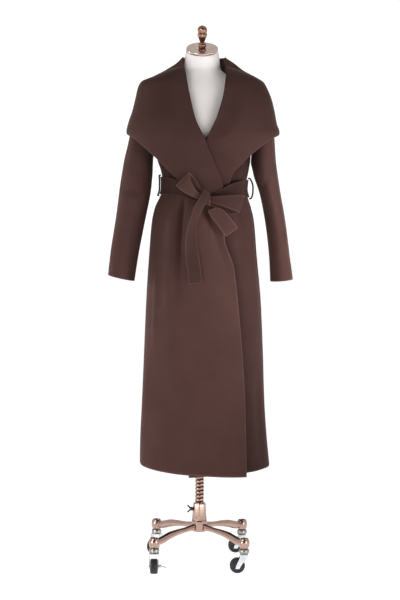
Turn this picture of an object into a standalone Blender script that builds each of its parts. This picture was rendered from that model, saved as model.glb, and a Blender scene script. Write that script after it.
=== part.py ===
"""A long wrap overcoat with a wide shawl collar and a tied belt, on a dress form with a castor stand.

Metres, +Z up, the floor at z = 0 and the stand's post on the Z axis. The coat's front faces -Y.
Right and left are the wearer's, so the right side lies towards -X.
Angles round the body are degrees: 0 at the left side, 90 at the back, 180 at the right side, 270 in front.
"""

import math
from collections import namedtuple

import bmesh
import bpy
import numpy as np
from mathutils import Matrix, Vector

# Cloth
WALL = 0.0024
FOLD_RADIUS = 0.0012
LAYER_GAP = 0.0014
SEAM = 0.0005
FOLDED_LAYER = WALL + 2 * FOLD_RADIUS
UNDER_LAYERS = FOLDED_LAYER + WALL + LAYER_GAP
SQUARENESS = 2.2
DRAPE_WIDTH = 0.05
DRAPE_START = 0.010
LAPEL_TURN = 0.2

# Heights of the coat
HEM = 0.300
HEM_REACH = 0.150
OVER_HEM_SWEEP = 0.7
UNDER_HEM_SWEEP = 2.0
HEM_RISE_RIGHT = 0.0175
HEM_RISE_LEFT = 0.0055
OVER_FRONT_RISE = -0.0055
UNDER_FRONT_RISE = -0.0065
ARMPIT = 1.262
SHOULDER_TIP = 1.452
BACK_NECK = 1.506
STAND_TOP = 1.536
LAPEL_END = 1.140
COLLAR_TIP = 1.317
COLLAR_BACK_HEM = 1.335
COLLAR_SEAM_TURN = 1.490
COLLAR_SEAM_FOOT = 1.500
COLLAR_FOOT = BACK_NECK + 0.0036
COLLAR_RISE = 1.522
COLLAR_TOP = STAND_TOP + FOLD_RADIUS
ARMHOLE_DEPTH = 0.060

# Where the over front leaves the body, in degrees, and the heights at which it lies closer again
OVERLAP_START = 222
OVERLAP_WIDTH = 26
TWO_LAYERS_FOOT = 1.030
TWO_LAYERS_RISE = 0.080
OVERLAP_END = 1.310
OVERLAP_FADE = 0.090

# How far the over front stands off the under front along its edge
EDGE_STAND = 0.016
EDGE_STAND_START = 268
EDGE_STAND_WIDTH = 40
EDGE_STAND_FOOT = 0.45
EDGE_STAND_TOP = 1.06

# Levels of the rows through the body panels
SKIRT_LEVELS = [HEM, 0.39, 0.50, 0.61, 0.71, 0.80, 0.88, 0.95, 1.01, 1.055, 1.085, 1.110]
WAIST_LEVELS = [1.145, 1.170, 1.200, 1.233]
SHOULDER_LEVELS = [1.467, 1.485, 1.498, BACK_NECK, 1.520, STAND_TOP]

# Belt
BELT_MIDDLE = 1.1515
BELT_SLOPE = 0.0040
BELT_WIDTH = 0.053
BELT_LIFT = 0.0058
BELT_FRONT_LIFT = 0.0184
BELT_FRONT_START = 206
BELT_FRONT_RISE = 30
BELT_FRONT_END = 318
BELT_FRONT_FADE = 24
CARRIER_RADIUS = 0.0020
CARRIER_REACH = 0.72
KNOT = Vector((0.014, -0.140, 1.118))
KNOT_DEPTH = 0.0105
KNOT_HEIGHT = 0.0150

# Dress form
NECK_TILT = math.radians(25.7)
NECK_ROOT = 1.490
NECK_TURN = 1.545
CAP_CENTRE = Vector((0.0, 0.0, 1.565))
CAP_RADIUS = 0.0480
CAP_THICKNESS = 0.008
FORM_BOTTOM = 0.800
FORM_LEVELS = [FORM_BOTTOM, 0.815, 0.86, 0.94, 1.00, 1.06, 1.14, 1.20, 1.25, 1.30, 1.36, 1.415]
NECK_LEVELS = [1.443, 1.459, 1.477, 1.491, 1.502, 1.516, 1.538, 1.560]
TURN_GAP = 0.0006
PIVOT_RADIUS = 0.0104
PIVOT_LENGTH = 0.048
PIVOT_BORE = PIVOT_RADIUS + 0.0008

# Stand
CASTOR_REACH = 0.1345
SOCKET_BOTTOM = 0.0750
SOCKET_TOP = 0.1050
SOCKET_RADIUS = 0.0165
SOCKET_SIDES = 10
STEM_RADIUS = 0.0050
FIT = 0.0005
NUT_RADIUS = 0.0085
CUP_TOP = SOCKET_BOTTOM - FIT
CUP_BOTTOM = CUP_TOP - 0.0150
NUT_BOTTOM = 0.0935
COLUMN_TOP = 0.186
HUB_BOTTOM = 0.097
HUB_FLAT = 0.0235
POST_RADIUS = 0.0138
POST_CORE = 0.0105
POST_PITCH = 0.0116
POST_FOOT = 0.100
TWIST_TOP = 0.320
BAR_RADIUS = 0.0115
FLANGE_RADIUS = 0.0380
BOLT_HEIGHT = 0.166
WHEEL_RADIUS = 0.0235
WHEEL_SIDES = 16
WHEEL_HALF = 0.0115
TREAD_HALF = 0.0080
AXLE_HEIGHT = WHEEL_RADIUS * math.cos(math.pi / WHEEL_SIDES)
AXLE_RADIUS = 0.0030
TRAIL = 0.020
CHEEK_INSIDE = 0.0133
CHEEK_OUTSIDE = 0.0153
FORK_TOP = CUP_BOTTOM - FIT
FORK_PLATE = 0.0032
FORK_HALF = 0.0120
AXLE_END = CHEEK_OUTSIDE + 0.0012
SHANK_RADIUS = 0.0030
WING_HALF = 0.0016
BRAKE_RADIUS = 0.0058
BRAKE_WING_HALF = 0.0012
BRAKE_WING_LEAN = 0.25

Section = namedtuple("Section", "z right left front back")
Edge = namedtuple("Edge", "z x")
Fold = namedtuple("Fold", "angle lean top bottom depth width")
Ring = namedtuple("Ring", "outer_x outer_z inner_x inner_z depth y")
Ribbon = namedtuple("Ribbon", "x y z width tilt twist")
KnotRing = namedtuple("KnotRing", "along swell rise")
Profile = namedtuple("Profile", "radius z")
LegSection = namedtuple("LegSection", "z reach middle height width")
Corner = namedtuple("Corner", "x z")
Castor = namedtuple("Castor", "name side_x side_y trail_angle")

# Half sizes of the coat's inside at each height
BODY = [
    Section(0.300, 0.181, 0.211, 0.172, 0.165),
    Section(0.380, 0.180, 0.203, 0.165, 0.161),
    Section(0.502, 0.175, 0.194, 0.157, 0.154),
    Section(0.656, 0.169, 0.188, 0.149, 0.147),
    Section(0.810, 0.163, 0.180, 0.142, 0.140),
    Section(0.943, 0.155, 0.167, 0.133, 0.134),
    Section(1.052, 0.146, 0.157, 0.121, 0.116),
    Section(1.090, 0.137, 0.148, 0.111, 0.103),
    Section(1.124, 0.1215, 0.137, 0.103, 0.094),
    Section(1.145, 0.1150, 0.132, 0.101, 0.091),
    Section(1.170, 0.1150, 0.134, 0.101, 0.091),
    Section(1.200, 0.1200, 0.140, 0.104, 0.093),
    Section(1.233, 0.131, 0.145, 0.109, 0.097),
    Section(1.262, 0.136, 0.147, 0.114, 0.100),
    Section(1.300, 0.142, 0.150, 0.120, 0.104),
    Section(1.360, 0.150, 0.155, 0.121, 0.110),
    Section(1.420, 0.158, 0.162, 0.110, 0.111),
    Section(1.452, 0.165, 0.168, 0.098, 0.106),
    Section(1.467, 0.140, 0.148, 0.090, 0.100),
    Section(1.485, 0.105, 0.116, 0.080, 0.092),
    Section(1.499, 0.079, 0.092, 0.070, 0.082),
    Section(1.506, 0.066, 0.080, 0.062, 0.074),
    Section(1.520, 0.0585, 0.071, 0.058, 0.069),
    Section(1.536, 0.0545, 0.0665, 0.055, 0.066),
]

# Half sizes of the collar's inside where it hangs free over the shoulders
CAPE = [
    Section(1.140, 0.124, 0.138, 0.1140, 0.106),
    Section(1.182, 0.127, 0.1445, 0.1150, 0.106),
    Section(1.200, 0.160, 0.172, 0.119, 0.108),
    Section(1.232, 0.196, 0.201, 0.124, 0.112),
    Section(1.280, 0.216, 0.222, 0.133, 0.117),
    Section(1.317, 0.2245, 0.2325, 0.138, 0.122),
    Section(1.341, 0.2195, 0.2245, 0.138, 0.124),
    Section(1.377, 0.2075, 0.2175, 0.134, 0.125),
    Section(1.413, 0.1985, 0.2085, 0.126, 0.125),
    Section(1.449, 0.1900, 0.1935, 0.114, 0.121),
    Section(1.464, 0.1815, 0.1845, 0.107, 0.117),
    Section(1.482, 0.1415, 0.1565, 0.096, 0.109),
    Section(1.500, 0.1085, 0.1225, 0.084, 0.098),
    Section(1.520, 0.0760, 0.0960, 0.073, 0.086),
    Section(1.536, 0.0593, 0.0713, 0.0598, 0.0708),
]

# Half sizes of the dress form
FORM = [
    Section(0.800, 0.138, 0.138, 0.094, 0.104),
    Section(0.860, 0.145, 0.145, 0.100, 0.112),
    Section(0.940, 0.144, 0.144, 0.100, 0.117),
    Section(1.040, 0.126, 0.126, 0.090, 0.095),
    Section(1.140, 0.105, 0.105, 0.080, 0.076),
    Section(1.220, 0.117, 0.117, 0.092, 0.082),
    Section(1.300, 0.132, 0.132, 0.111, 0.091),
    Section(1.360, 0.139, 0.139, 0.108, 0.098),
    Section(1.415, 0.147, 0.147, 0.095, 0.101),
    Section(1.443, 0.150, 0.150, 0.086, 0.097),
    Section(1.459, 0.131, 0.131, 0.078, 0.091),
    Section(1.477, 0.097, 0.097, 0.068, 0.083),
    Section(1.491, 0.072, 0.072, 0.060, 0.072),
    Section(1.502, 0.0580, 0.0580, 0.0550, 0.0620),
    Section(1.516, 0.0545, 0.0545, 0.0515, 0.0550),
    Section(1.538, 0.0520, 0.0520, 0.0490, 0.0490),
    Section(1.560, 0.0478, 0.0478, 0.0430, 0.0430),
]

# Where each front ends towards the middle: its front edge below the belt, its roll line above
FRONT_RIGHT_EDGE = [
    Edge(0.300, 0.1255),
    Edge(0.600, 0.1156),
    Edge(0.810, 0.1002),
    Edge(1.000, 0.078),
    Edge(1.120, 0.060),
    Edge(1.146, 0.0565),
    Edge(1.230, 0.030),
    Edge(1.288, 0.008),
    Edge(1.355, -0.0216),
    Edge(1.440, -0.043),
    Edge(1.485, -0.051),
    Edge(1.506, -0.0545),
    Edge(1.520, -0.0553),
    Edge(1.536, -0.0542),
]
FRONT_LEFT_EDGE = [
    Edge(0.300, -0.032),
    Edge(0.800, -0.033),
    Edge(1.120, -0.034),
    Edge(1.200, -0.012),
    Edge(1.288, 0.015),
    Edge(1.361, 0.0486),
    Edge(1.440, 0.069),
    Edge(1.485, 0.0735),
    Edge(1.506, 0.0715),
    Edge(1.520, 0.0690),
    Edge(1.536, 0.0662),
]

# The lapels' outer edges, from under the belt to the collar's tip at the side
LAPEL_RIGHT_EDGE = [Edge(1.140, -0.030), Edge(1.170, -0.0645), Edge(1.246, -0.144), Edge(1.317, -0.2245)]
LAPEL_LEFT_EDGE = [Edge(1.140, 0.083), Edge(1.188, 0.093), Edge(1.225, 0.122), Edge(1.317, 0.2325)]

# Gathers under the belt and flutes at the hem: degrees, degrees a metre downwards, metres
FOLDS = [
    Fold(229, 4, 1.120, 0.690, 0.0060, 6),
    Fold(243, 0, 1.120, 0.800, -0.0110, 5.5),
    Fold(257, 0, 1.118, 0.880, 0.0050, 5),
    Fold(278, 105, 1.116, 0.860, -0.0070, 8),
    Fold(214, 0, 0.930, 0.610, 0.0045, 4),
    Fold(322, -8, 1.120, 0.760, -0.0060, 6),
    Fold(338, 0, 1.120, 0.700, 0.0050, 6),
    Fold(30, 0, 1.120, 0.760, -0.0060, 6),
    Fold(48, 6, 1.120, 0.640, 0.0070, 7),
    Fold(68, 0, 1.120, 0.820, -0.0080, 6),
    Fold(86, -4, 1.120, 0.580, 0.0080, 7),
    Fold(107, 0, 1.120, 0.780, -0.0090, 6),
    Fold(125, 5, 1.120, 0.660, 0.0065, 7),
    Fold(147, 0, 1.120, 0.800, -0.0065, 6),
    Fold(202, 0, 0.640, 0.180, 0.0050, 9),
    Fold(238, 3, 0.600, 0.180, -0.0050, 9),
    Fold(266, 0, 0.640, 0.180, 0.0040, 10),
    Fold(336, 0, 0.620, 0.180, -0.0060, 8),
    Fold(42, 0, 0.640, 0.180, 0.0080, 10),
    Fold(72, 0, 0.560, 0.180, -0.0080, 9),
    Fold(100, 0, 0.660, 0.180, 0.0090, 10),
    Fold(136, 0, 0.600, 0.180, -0.0080, 10),
]

# Sleeves from the armhole to the cuff, as distances from the middle
SLEEVE_RIGHT = [
    Ring(0.1740, 1.4510, 0.1425, 1.2560, 0.0620, 0.000),
    Ring(0.1840, 1.4390, 0.1455, 1.2500, 0.0615, 0.000),
    Ring(0.1920, 1.4130, 0.1470, 1.2450, 0.0600, 0.000),
    Ring(0.2010, 1.3750, 0.1478, 1.2380, 0.0580, -0.001),
    Ring(0.2100, 1.3300, 0.1484, 1.2280, 0.0565, -0.002),
    Ring(0.2190, 1.2820, 0.1490, 1.2100, 0.0550, -0.003),
    Ring(0.2320, 1.2250, 0.1500, 1.1850, 0.0540, -0.004),
    Ring(0.2440, 1.1450, 0.1560, 1.1280, 0.0530, -0.007),
    Ring(0.2555, 1.0560, 0.1735, 1.0390, 0.0510, -0.012),
    Ring(0.2695, 0.9640, 0.1905, 0.9480, 0.0485, -0.019),
    Ring(0.2780, 0.8850, 0.2025, 0.8680, 0.0470, -0.026),
]
SLEEVE_LEFT = [
    Ring(0.1770, 1.4520, 0.1520, 1.2560, 0.0620, 0.000),
    Ring(0.1870, 1.4400, 0.1545, 1.2490, 0.0620, 0.000),
    Ring(0.1990, 1.4130, 0.1555, 1.2430, 0.0610, 0.000),
    Ring(0.2080, 1.3750, 0.1560, 1.2350, 0.0600, -0.001),
    Ring(0.2145, 1.3300, 0.1565, 1.2230, 0.0590, -0.002),
    Ring(0.2185, 1.2820, 0.1580, 1.2040, 0.0580, -0.003),
    Ring(0.2230, 1.2250, 0.1620, 1.1800, 0.0575, -0.004),
    Ring(0.2355, 1.1420, 0.1795, 1.1280, 0.0570, -0.006),
    Ring(0.2515, 1.0540, 0.1965, 1.0420, 0.0555, -0.012),
    Ring(0.2645, 0.9600, 0.2075, 0.9500, 0.0535, -0.020),
    Ring(0.2760, 0.8750, 0.2120, 0.8690, 0.0500, -0.027),
]

# The tied belt: each row is the middle of the band, its width, and how the band lies there in degrees
BOW_LOOP_RIGHT = [
    Ribbon(0.0080, -0.1370, 1.1165, 0.013, 62, 0),
    Ribbon(-0.0180, -0.1320, 1.1410, 0.030, 46, 6),
    Ribbon(-0.0420, -0.1300, 1.1640, 0.048, 46, 8),
    Ribbon(-0.0570, -0.1370, 1.1765, 0.052, 46, 8),
    Ribbon(-0.0500, -0.1490, 1.1690, 0.050, 46, 10),
    Ribbon(-0.0230, -0.1505, 1.1405, 0.029, 46, 10),
    Ribbon(0.0080, -0.1430, 1.1185, 0.013, 62, 0),
]
BOW_LOOP_LEFT = [
    Ribbon(0.0200, -0.1370, 1.1170, 0.016, 84, 0),
    Ribbon(0.0500, -0.1310, 1.1130, 0.034, 78, -3),
    Ribbon(0.0900, -0.1240, 1.1030, 0.050, 72, -3),
    Ribbon(0.1170, -0.1300, 1.0970, 0.056, 70, -4),
    Ribbon(0.0960, -0.1450, 1.0990, 0.052, 70, -6),
    Ribbon(0.0540, -0.1510, 1.1090, 0.034, 76, -6),
    Ribbon(0.0200, -0.1430, 1.1180, 0.016, 84, 0),
]
BELT_TAIL_RIGHT = [
    Ribbon(0.0170, -0.1520, 1.1400, 0.022, 147, 0),
    Ribbon(0.0040, -0.1605, 1.1130, 0.025, 147, 4),
    Ribbon(-0.0110, -0.1540, 1.0850, 0.027, 150, 22),
    Ribbon(-0.0230, -0.1480, 1.0500, 0.030, 164, 40),
    Ribbon(-0.0295, -0.1480, 1.0080, 0.036, 176, 30),
    Ribbon(-0.0265, -0.1500, 0.9600, 0.040, 182, 14),
    Ribbon(-0.0205, -0.1530, 0.9100, 0.041, 186, 6),
    Ribbon(-0.0160, -0.1560, 0.8690, 0.041, 187, 2),
]
BELT_TAIL_LEFT = [
    Ribbon(0.0330, -0.1360, 1.0890, 0.030, 20, 0),
    Ribbon(0.0480, -0.1360, 1.0740, 0.042, 30, 0),
    Ribbon(0.0680, -0.1360, 1.0500, 0.044, 35, 0),
    Ribbon(0.0910, -0.1320, 1.0200, 0.044, 37, 0),
]

# The band round the middle of the bow, as rings along X
KNOT_RINGS = [
    KnotRing(-0.013, 1.30, 0.007),
    KnotRing(-0.005, 1.05, 0.002),
    KnotRing(0.005, 1.00, 0.000),
    KnotRing(0.013, 1.18, -0.002),
]

# Turned pieces, from the top down, as radius and height
FINIAL = [
    Profile(0.0, 0.0700),
    Profile(0.0062, 0.0686),
    Profile(0.0114, 0.0645),
    Profile(0.0144, 0.0580),
    Profile(0.0142, 0.0515),
    Profile(0.0128, 0.0465),
    Profile(0.0144, 0.0435),
    Profile(0.0144, 0.0380),
    Profile(0.0122, 0.0330),
    Profile(0.0088, 0.0235),
    Profile(0.0066, 0.0165),
    Profile(0.0108, 0.0138),
    Profile(0.0120, 0.0085),
    Profile(0.0094, 0.0003),
    Profile(0.0, 0.0003),
]
COLUMN = [
    Profile(0.0165, COLUMN_TOP),
    Profile(0.0182, COLUMN_TOP - 0.004),
    Profile(0.0186, COLUMN_TOP - 0.010),
    Profile(0.0222, HUB_BOTTOM + 0.036),
    Profile(HUB_FLAT, HUB_BOTTOM + 0.034),
    Profile(HUB_FLAT, HUB_BOTTOM + 0.003),
    Profile(HUB_FLAT - 0.003, HUB_BOTTOM),
]
LEG = [
    LegSection(0.0, 0.0239, 0.1120, 0.023, 0.018),
    LegSection(1.0, 0.0600, 0.1095, 0.015, 0.017),
    LegSection(2.0, 0.1000, 0.1060, 0.019, 0.018),
    LegSection(3.0, 0.1300, 0.1010, 0.022, 0.019),
    LegSection(4.0, 0.1560, 0.0930, 0.023, 0.018),
    LegSection(5.0, 0.1850, 0.0885, 0.021, 0.016),
]

SOCKET = [
    Profile(0.78 * SOCKET_RADIUS, SOCKET_BOTTOM),
    Profile(SOCKET_RADIUS, SOCKET_BOTTOM + 0.010),
    Profile(SOCKET_RADIUS, SOCKET_TOP - 0.010),
    Profile(0.82 * SOCKET_RADIUS, SOCKET_TOP),
]
STEM = [
    Profile(0.0, NUT_BOTTOM + 0.0080),
    Profile(NUT_RADIUS, NUT_BOTTOM + 0.0075),
    Profile(NUT_RADIUS, NUT_BOTTOM),
    Profile(STEM_RADIUS, NUT_BOTTOM),
    Profile(STEM_RADIUS, CUP_TOP),
    Profile(0.0110, CUP_TOP),
    Profile(0.0150, CUP_TOP - 0.0035),
    Profile(0.0158, CUP_TOP - 0.0125),
    Profile(0.0135, CUP_BOTTOM),
    Profile(0.0, CUP_BOTTOM),
]

# Flat outlines: half of the bolt's wings, a fork's cheek and the brake lever's wing
WING = [
    Corner(0.027, 0.0),
    Corner(0.029, 0.0050),
    Corner(0.035, 0.0115),
    Corner(0.039, 0.0110),
    Corner(0.039, 0.0078),
    Corner(0.032, 0.0),
]
CHEEK = [
    Corner(-0.0125, FORK_TOP),
    Corner(-0.0125, FORK_TOP - 0.0090),
    Corner(TRAIL - 0.0050, AXLE_HEIGHT - 0.0065),
    Corner(TRAIL + 0.0010, AXLE_HEIGHT - 0.0085),
    Corner(TRAIL + 0.0062, AXLE_HEIGHT - 0.0040),
    Corner(TRAIL + 0.0062, AXLE_HEIGHT + 0.0055),
    Corner(0.0125, FORK_TOP),
]
BRAKE_WING = [
    Corner(-0.0040, 0.003),
    Corner(0.0040, 0.003),
    Corner(0.0060, 0.020),
    Corner(-0.0060, 0.020),
]

CASTORS = [
    Castor("front_right", -1, -1, 270),
    Castor("front_left", 1, -1, 180),
    Castor("back_right", -1, 1, 240),
    Castor("back_left", 1, 1, 180),
]


def clear_scene():
    for thing in list(bpy.data.objects):
        bpy.data.objects.remove(thing)


def new_collection(name):
    collection = bpy.data.collections.new(name)
    bpy.context.scene.collection.children.link(collection)
    return collection


def new_material(name, colour, roughness, metallic):
    material = bpy.data.materials.new(name)
    material.use_nodes = True
    shader = material.node_tree.nodes["Principled BSDF"]
    shader.inputs["Base Color"].default_value = (*colour, 1.0)
    shader.inputs["Roughness"].default_value = roughness
    shader.inputs["Metallic"].default_value = metallic
    material.diffuse_color = (*colour, 1.0)
    return material


clear_scene()
PARTS = new_collection("overcoat_on_dress_form")
CUTTERS = new_collection("cutters")
WOOL = new_material("brown_wool", (0.088, 0.047, 0.042), 0.9, 0.0)
JERSEY = new_material("white_jersey", (0.80, 0.76, 0.74), 0.85, 0.0)
ROSE_METAL = new_material("polished_rose_metal", (0.60, 0.45, 0.37), 0.15, 1.0)
COPPER = new_material("polished_copper", (0.56, 0.32, 0.23), 0.2, 1.0)
ZINC = new_material("zinc_plate", (0.72, 0.73, 0.75), 0.35, 1.0)
RUBBER = new_material("black_rubber", (0.03, 0.03, 0.032), 0.6, 0.0)
DARK_STEEL = new_material("dark_steel", (0.10, 0.07, 0.06), 0.35, 1.0)


def add_object(name, mesh, material, smooth_angle=40):
    """A named part on a finished mesh."""
    mesh.materials.clear()
    mesh.materials.append(material)
    mesh.shade_smooth()
    mesh.set_sharp_from_angle(angle=math.radians(smooth_angle))
    thing = bpy.data.objects.new(name, mesh)
    PARTS.objects.link(thing)
    return thing


def add_cutter(name, mesh):
    thing = bpy.data.objects.new(name, mesh)
    CUTTERS.objects.link(thing)
    thing.hide_render = True
    thing.display_type = "WIRE"
    return thing


def mesh_from(name, build):
    """A mesh that build fills in as a bmesh."""
    bm = bmesh.new()
    build(bm)
    mesh = bpy.data.meshes.new(name)
    bm.to_mesh(mesh)
    bm.free()
    return mesh


def boolean(thing, operation, other):
    modifier = thing.modifiers.new(operation.lower(), "BOOLEAN")
    modifier.operation = operation
    modifier.object = other
    modifier.solver = "EXACT"


def read(rows, column, z):
    """A table's column at height z, on a smooth curve through its rows that never overshoots."""
    heights = [row.z for row in rows]
    values = [getattr(row, column) for row in rows]
    z = min(max(z, heights[0]), heights[-1])
    k = min(max(int(np.searchsorted(heights, z)) - 1, 0), len(rows) - 2)

    def rise(i):
        return (values[i + 1] - values[i]) / (heights[i + 1] - heights[i])

    def slope(i):
        if i == 0 or i == len(rows) - 1:
            return rise(min(i, len(rows) - 2))
        before, after = rise(i - 1), rise(i)
        if before * after <= 0:
            return 0.0
        below = heights[i] - heights[i - 1]
        above = heights[i + 1] - heights[i]
        first, second = 2 * above + below, above + 2 * below
        return (first + second) / (first / before + second / after)

    step = heights[k + 1] - heights[k]
    t = (z - heights[k]) / step
    start = (2 * t**3 - 3 * t**2 + 1) * values[k] + (t**3 - 2 * t**2 + t) * step * slope(k)
    end = (3 * t**2 - 2 * t**3) * values[k + 1] + (t**3 - t**2) * step * slope(k + 1)
    return start + end


def ease(t):
    t = min(max(t, 0.0), 1.0)
    return t * t * (3 - 2 * t)


def mix(a, b, t):
    return a + (b - a) * t


def axis_sizes(rows, x, y, z):
    """The half sizes of a section on the side of x and y."""
    across = read(rows, "left" if x > 0 else "right", z)
    along = read(rows, "back" if y > 0 else "front", z)
    return across, along


def section_radius(rows, angle, z):
    """Distance from the axis to a section's outline, in the direction of angle."""
    c, s = math.cos(math.radians(angle)), math.sin(math.radians(angle))
    across, along = axis_sizes(rows, c, s, z)
    return ((abs(c) / across) ** SQUARENESS + (abs(s) / along) ** SQUARENESS) ** (-1 / SQUARENESS)


def angle_at_x(rows, x, z):
    """The direction of the section's front point at x."""
    across, along = axis_sizes(rows, x, -1, z)
    share = min(abs(x) / across, 1.0)
    y = -along * (1 - share**SQUARENESS) ** (1 / SQUARENESS)
    return math.degrees(math.atan2(y, x)) % 360


def fold_depth(angle, z):
    """How far the gathers and flutes move the cloth out."""
    total = 0.0
    for fold in FOLDS:
        if not fold.bottom < z < fold.top:
            continue
        middle = fold.angle + fold.lean * (fold.top - z)
        away = (angle - middle + 180) % 360 - 180
        length = fold.top - fold.bottom
        fade = ease((fold.top - z) / (0.2 * length)) * ease((z - fold.bottom) / (0.6 * length))
        total += fold.depth * fade * math.exp(-((away / fold.width) ** 2))
    return total


def over_lift(angle, z):
    """How far the over front stands out where the under front lies below it."""
    across = ease((angle - OVERLAP_START) / OVERLAP_WIDTH)
    one_layer = WALL + 2 * LAYER_GAP
    height = mix(one_layer, UNDER_LAYERS, ease((z - TWO_LAYERS_FOOT) / TWO_LAYERS_RISE))
    lying = across * height * (1 - ease((z - OVERLAP_END) / OVERLAP_FADE))
    lower = 1 - ease((z - EDGE_STAND_FOOT) / (EDGE_STAND_TOP - EDGE_STAND_FOOT))
    return lying + EDGE_STAND * lower * ease((angle - EDGE_STAND_START) / EDGE_STAND_WIDTH)


def no_lift(angle, z):
    return 0.0


def body_point(angle, z, lift):
    radius = section_radius(BODY, angle, z) + fold_depth(angle, z) + lift(angle, z)
    turn = math.radians(angle)
    return Vector((radius * math.cos(turn), radius * math.sin(turn), z))


def body_normal(angle, z, lift):
    low, high = max(z - 0.002, HEM), min(z + 0.002, STAND_TOP)
    around = body_point(angle + 1, z, lift) - body_point(angle - 1, z, lift)
    upward = body_point(angle, high, lift) - body_point(angle, low, lift)
    return around.cross(upward).normalized()


def cape_point(angle, z):
    radius = section_radius(CAPE, angle, z)
    turn = math.radians(angle)
    return Vector((radius * math.cos(turn), radius * math.sin(turn), z))


def armhole_angle(z, side, front):
    """Degrees from the side line to the armhole's edge at height z."""
    half = (SHOULDER_TIP - ARMPIT) / 2
    reach = 1 - ((z - ARMPIT - half) / half) ** 2
    if reach <= 0:
        return 0.0
    depth = ARMHOLE_DEPTH * math.sqrt(reach)
    across, along = axis_sizes(BODY, side, -front, z)
    x = across * (1 - (depth / along) ** SQUARENESS) ** (1 / SQUARENESS)
    return math.degrees(math.atan2(depth, x))


def seam_angle(z):
    """Half a seam's gap as an angle."""
    return math.degrees(SEAM / 2 / read(BODY, "right", z))


def panel_heights(top):
    """Levels of a body panel: skirt, waist, closer rows round the armhole, shoulder and neck."""
    half = (SHOULDER_TIP - ARMPIT) / 2
    steps = 7
    armhole = [ARMPIT + half * (1 - math.cos(math.pi * k / steps)) for k in range(steps + 1)]
    return [z for z in SKIRT_LEVELS + WAIST_LEVELS + armhole + SHOULDER_LEVELS if z <= top]


def hem_shift(z, rise):
    """Rows near the hem move up by as much as rise."""
    return z + rise * (1 - ease((z - HEM) / HEM_REACH))


def shell(name, rows, wrap=False, centres=None, thickness=WALL, material=WOOL):
    """Cloth lofted through rows of points, with its thickness added away from centres."""
    if centres is None:
        centres = [Vector((0, 0, sum(p.z for p in row) / len(row))) for row in rows]

    def build(bm):
        grid = [[bm.verts.new(p) for p in row] for row in rows]
        facing = 0.0
        for i in range(len(grid) - 1):
            count = len(grid[i]) if wrap else len(grid[i]) - 1
            for j in range(count):
                k = (j + 1) % len(grid[i])
                face = bm.faces.new((grid[i][j], grid[i][k], grid[i + 1][k], grid[i + 1][j]))
                face.normal_update()
                facing += face.calc_area() * face.normal.dot(face.calc_center_median() - centres[i])
        if facing < 0:
            bmesh.ops.reverse_faces(bm, faces=bm.faces)

    thing = add_object(name, mesh_from(name, build), material)
    solidify = thing.modifiers.new("wall", "SOLIDIFY")
    solidify.thickness = thickness
    solidify.offset = 1.0
    solidify.use_even_offset = True
    solidify.use_quality_normals = True
    return thing


def make_back_half(name, side):
    """Half of the back, from the side seam to the seam down the middle."""
    columns = 9
    rows = []
    for z in panel_heights(BACK_NECK):
        outer = (180 if side < 0 else 0) + side * (seam_angle(z) + armhole_angle(z, side, -1))
        inner = 90 - side * seam_angle(z)
        row = []
        for k in range(columns + 1):
            angle = mix(outer, inner, k / columns)
            point = body_point(angle, z, no_lift)
            point.z = hem_shift(z, mix(HEM_RISE_LEFT, HEM_RISE_RIGHT, angle / 180))
            row.append(point)
        rows.append(row)
    shell(name, rows)


def front_rows(side, edge, lift, rises, sweep, columns):
    """A front's rows, from the side seam to its edge in the middle; rises lift the hem at both."""
    rows = []
    for z in panel_heights(STAND_TOP):
        outer = 180 if side < 0 else 360
        outer -= side * (seam_angle(z) + armhole_angle(z, side, 1))
        inner = angle_at_x(BODY, read(edge, "x", z), z)
        row = []
        for k in range(columns + 1):
            share = k / columns
            point = body_point(mix(outer, inner, share), z, lift)
            point.z = hem_shift(z, mix(rises[0], rises[1], share**sweep))
            row.append(point)
        rows.append(row)
    return rows


def make_fronts():
    over_rises = (HEM_RISE_RIGHT, OVER_FRONT_RISE)
    under_rises = (HEM_RISE_LEFT, UNDER_FRONT_RISE)
    over = front_rows(-1, FRONT_RIGHT_EDGE, over_lift, over_rises, OVER_HEM_SWEEP, 18)
    under = front_rows(1, FRONT_LEFT_EDGE, no_lift, under_rises, UNDER_HEM_SWEEP, 12)
    shell("front_right", over)
    shell("front_left", under)


def collar_seam(side, z):
    """Where lapel and collar meet at height z: the side line, turned forward to the roll line on top."""
    roll, side_line = (FRONT_RIGHT_EDGE, 180) if side < 0 else (FRONT_LEFT_EDGE, 360)
    roll_end = angle_at_x(BODY, read(roll, "x", STAND_TOP), STAND_TOP)
    return mix(side_line, roll_end, ease((z - COLLAR_SEAM_FOOT) / (STAND_TOP - COLLAR_SEAM_FOOT)))


def collar_gap(z):
    """Half the gap between lapel and collar as an angle."""
    return math.degrees(SEAM / 2 / read(CAPE, "right", z))


def roll_point(roll, z, lift):
    return body_point(angle_at_x(BODY, read(roll, "x", z), z), z, lift)


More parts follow.
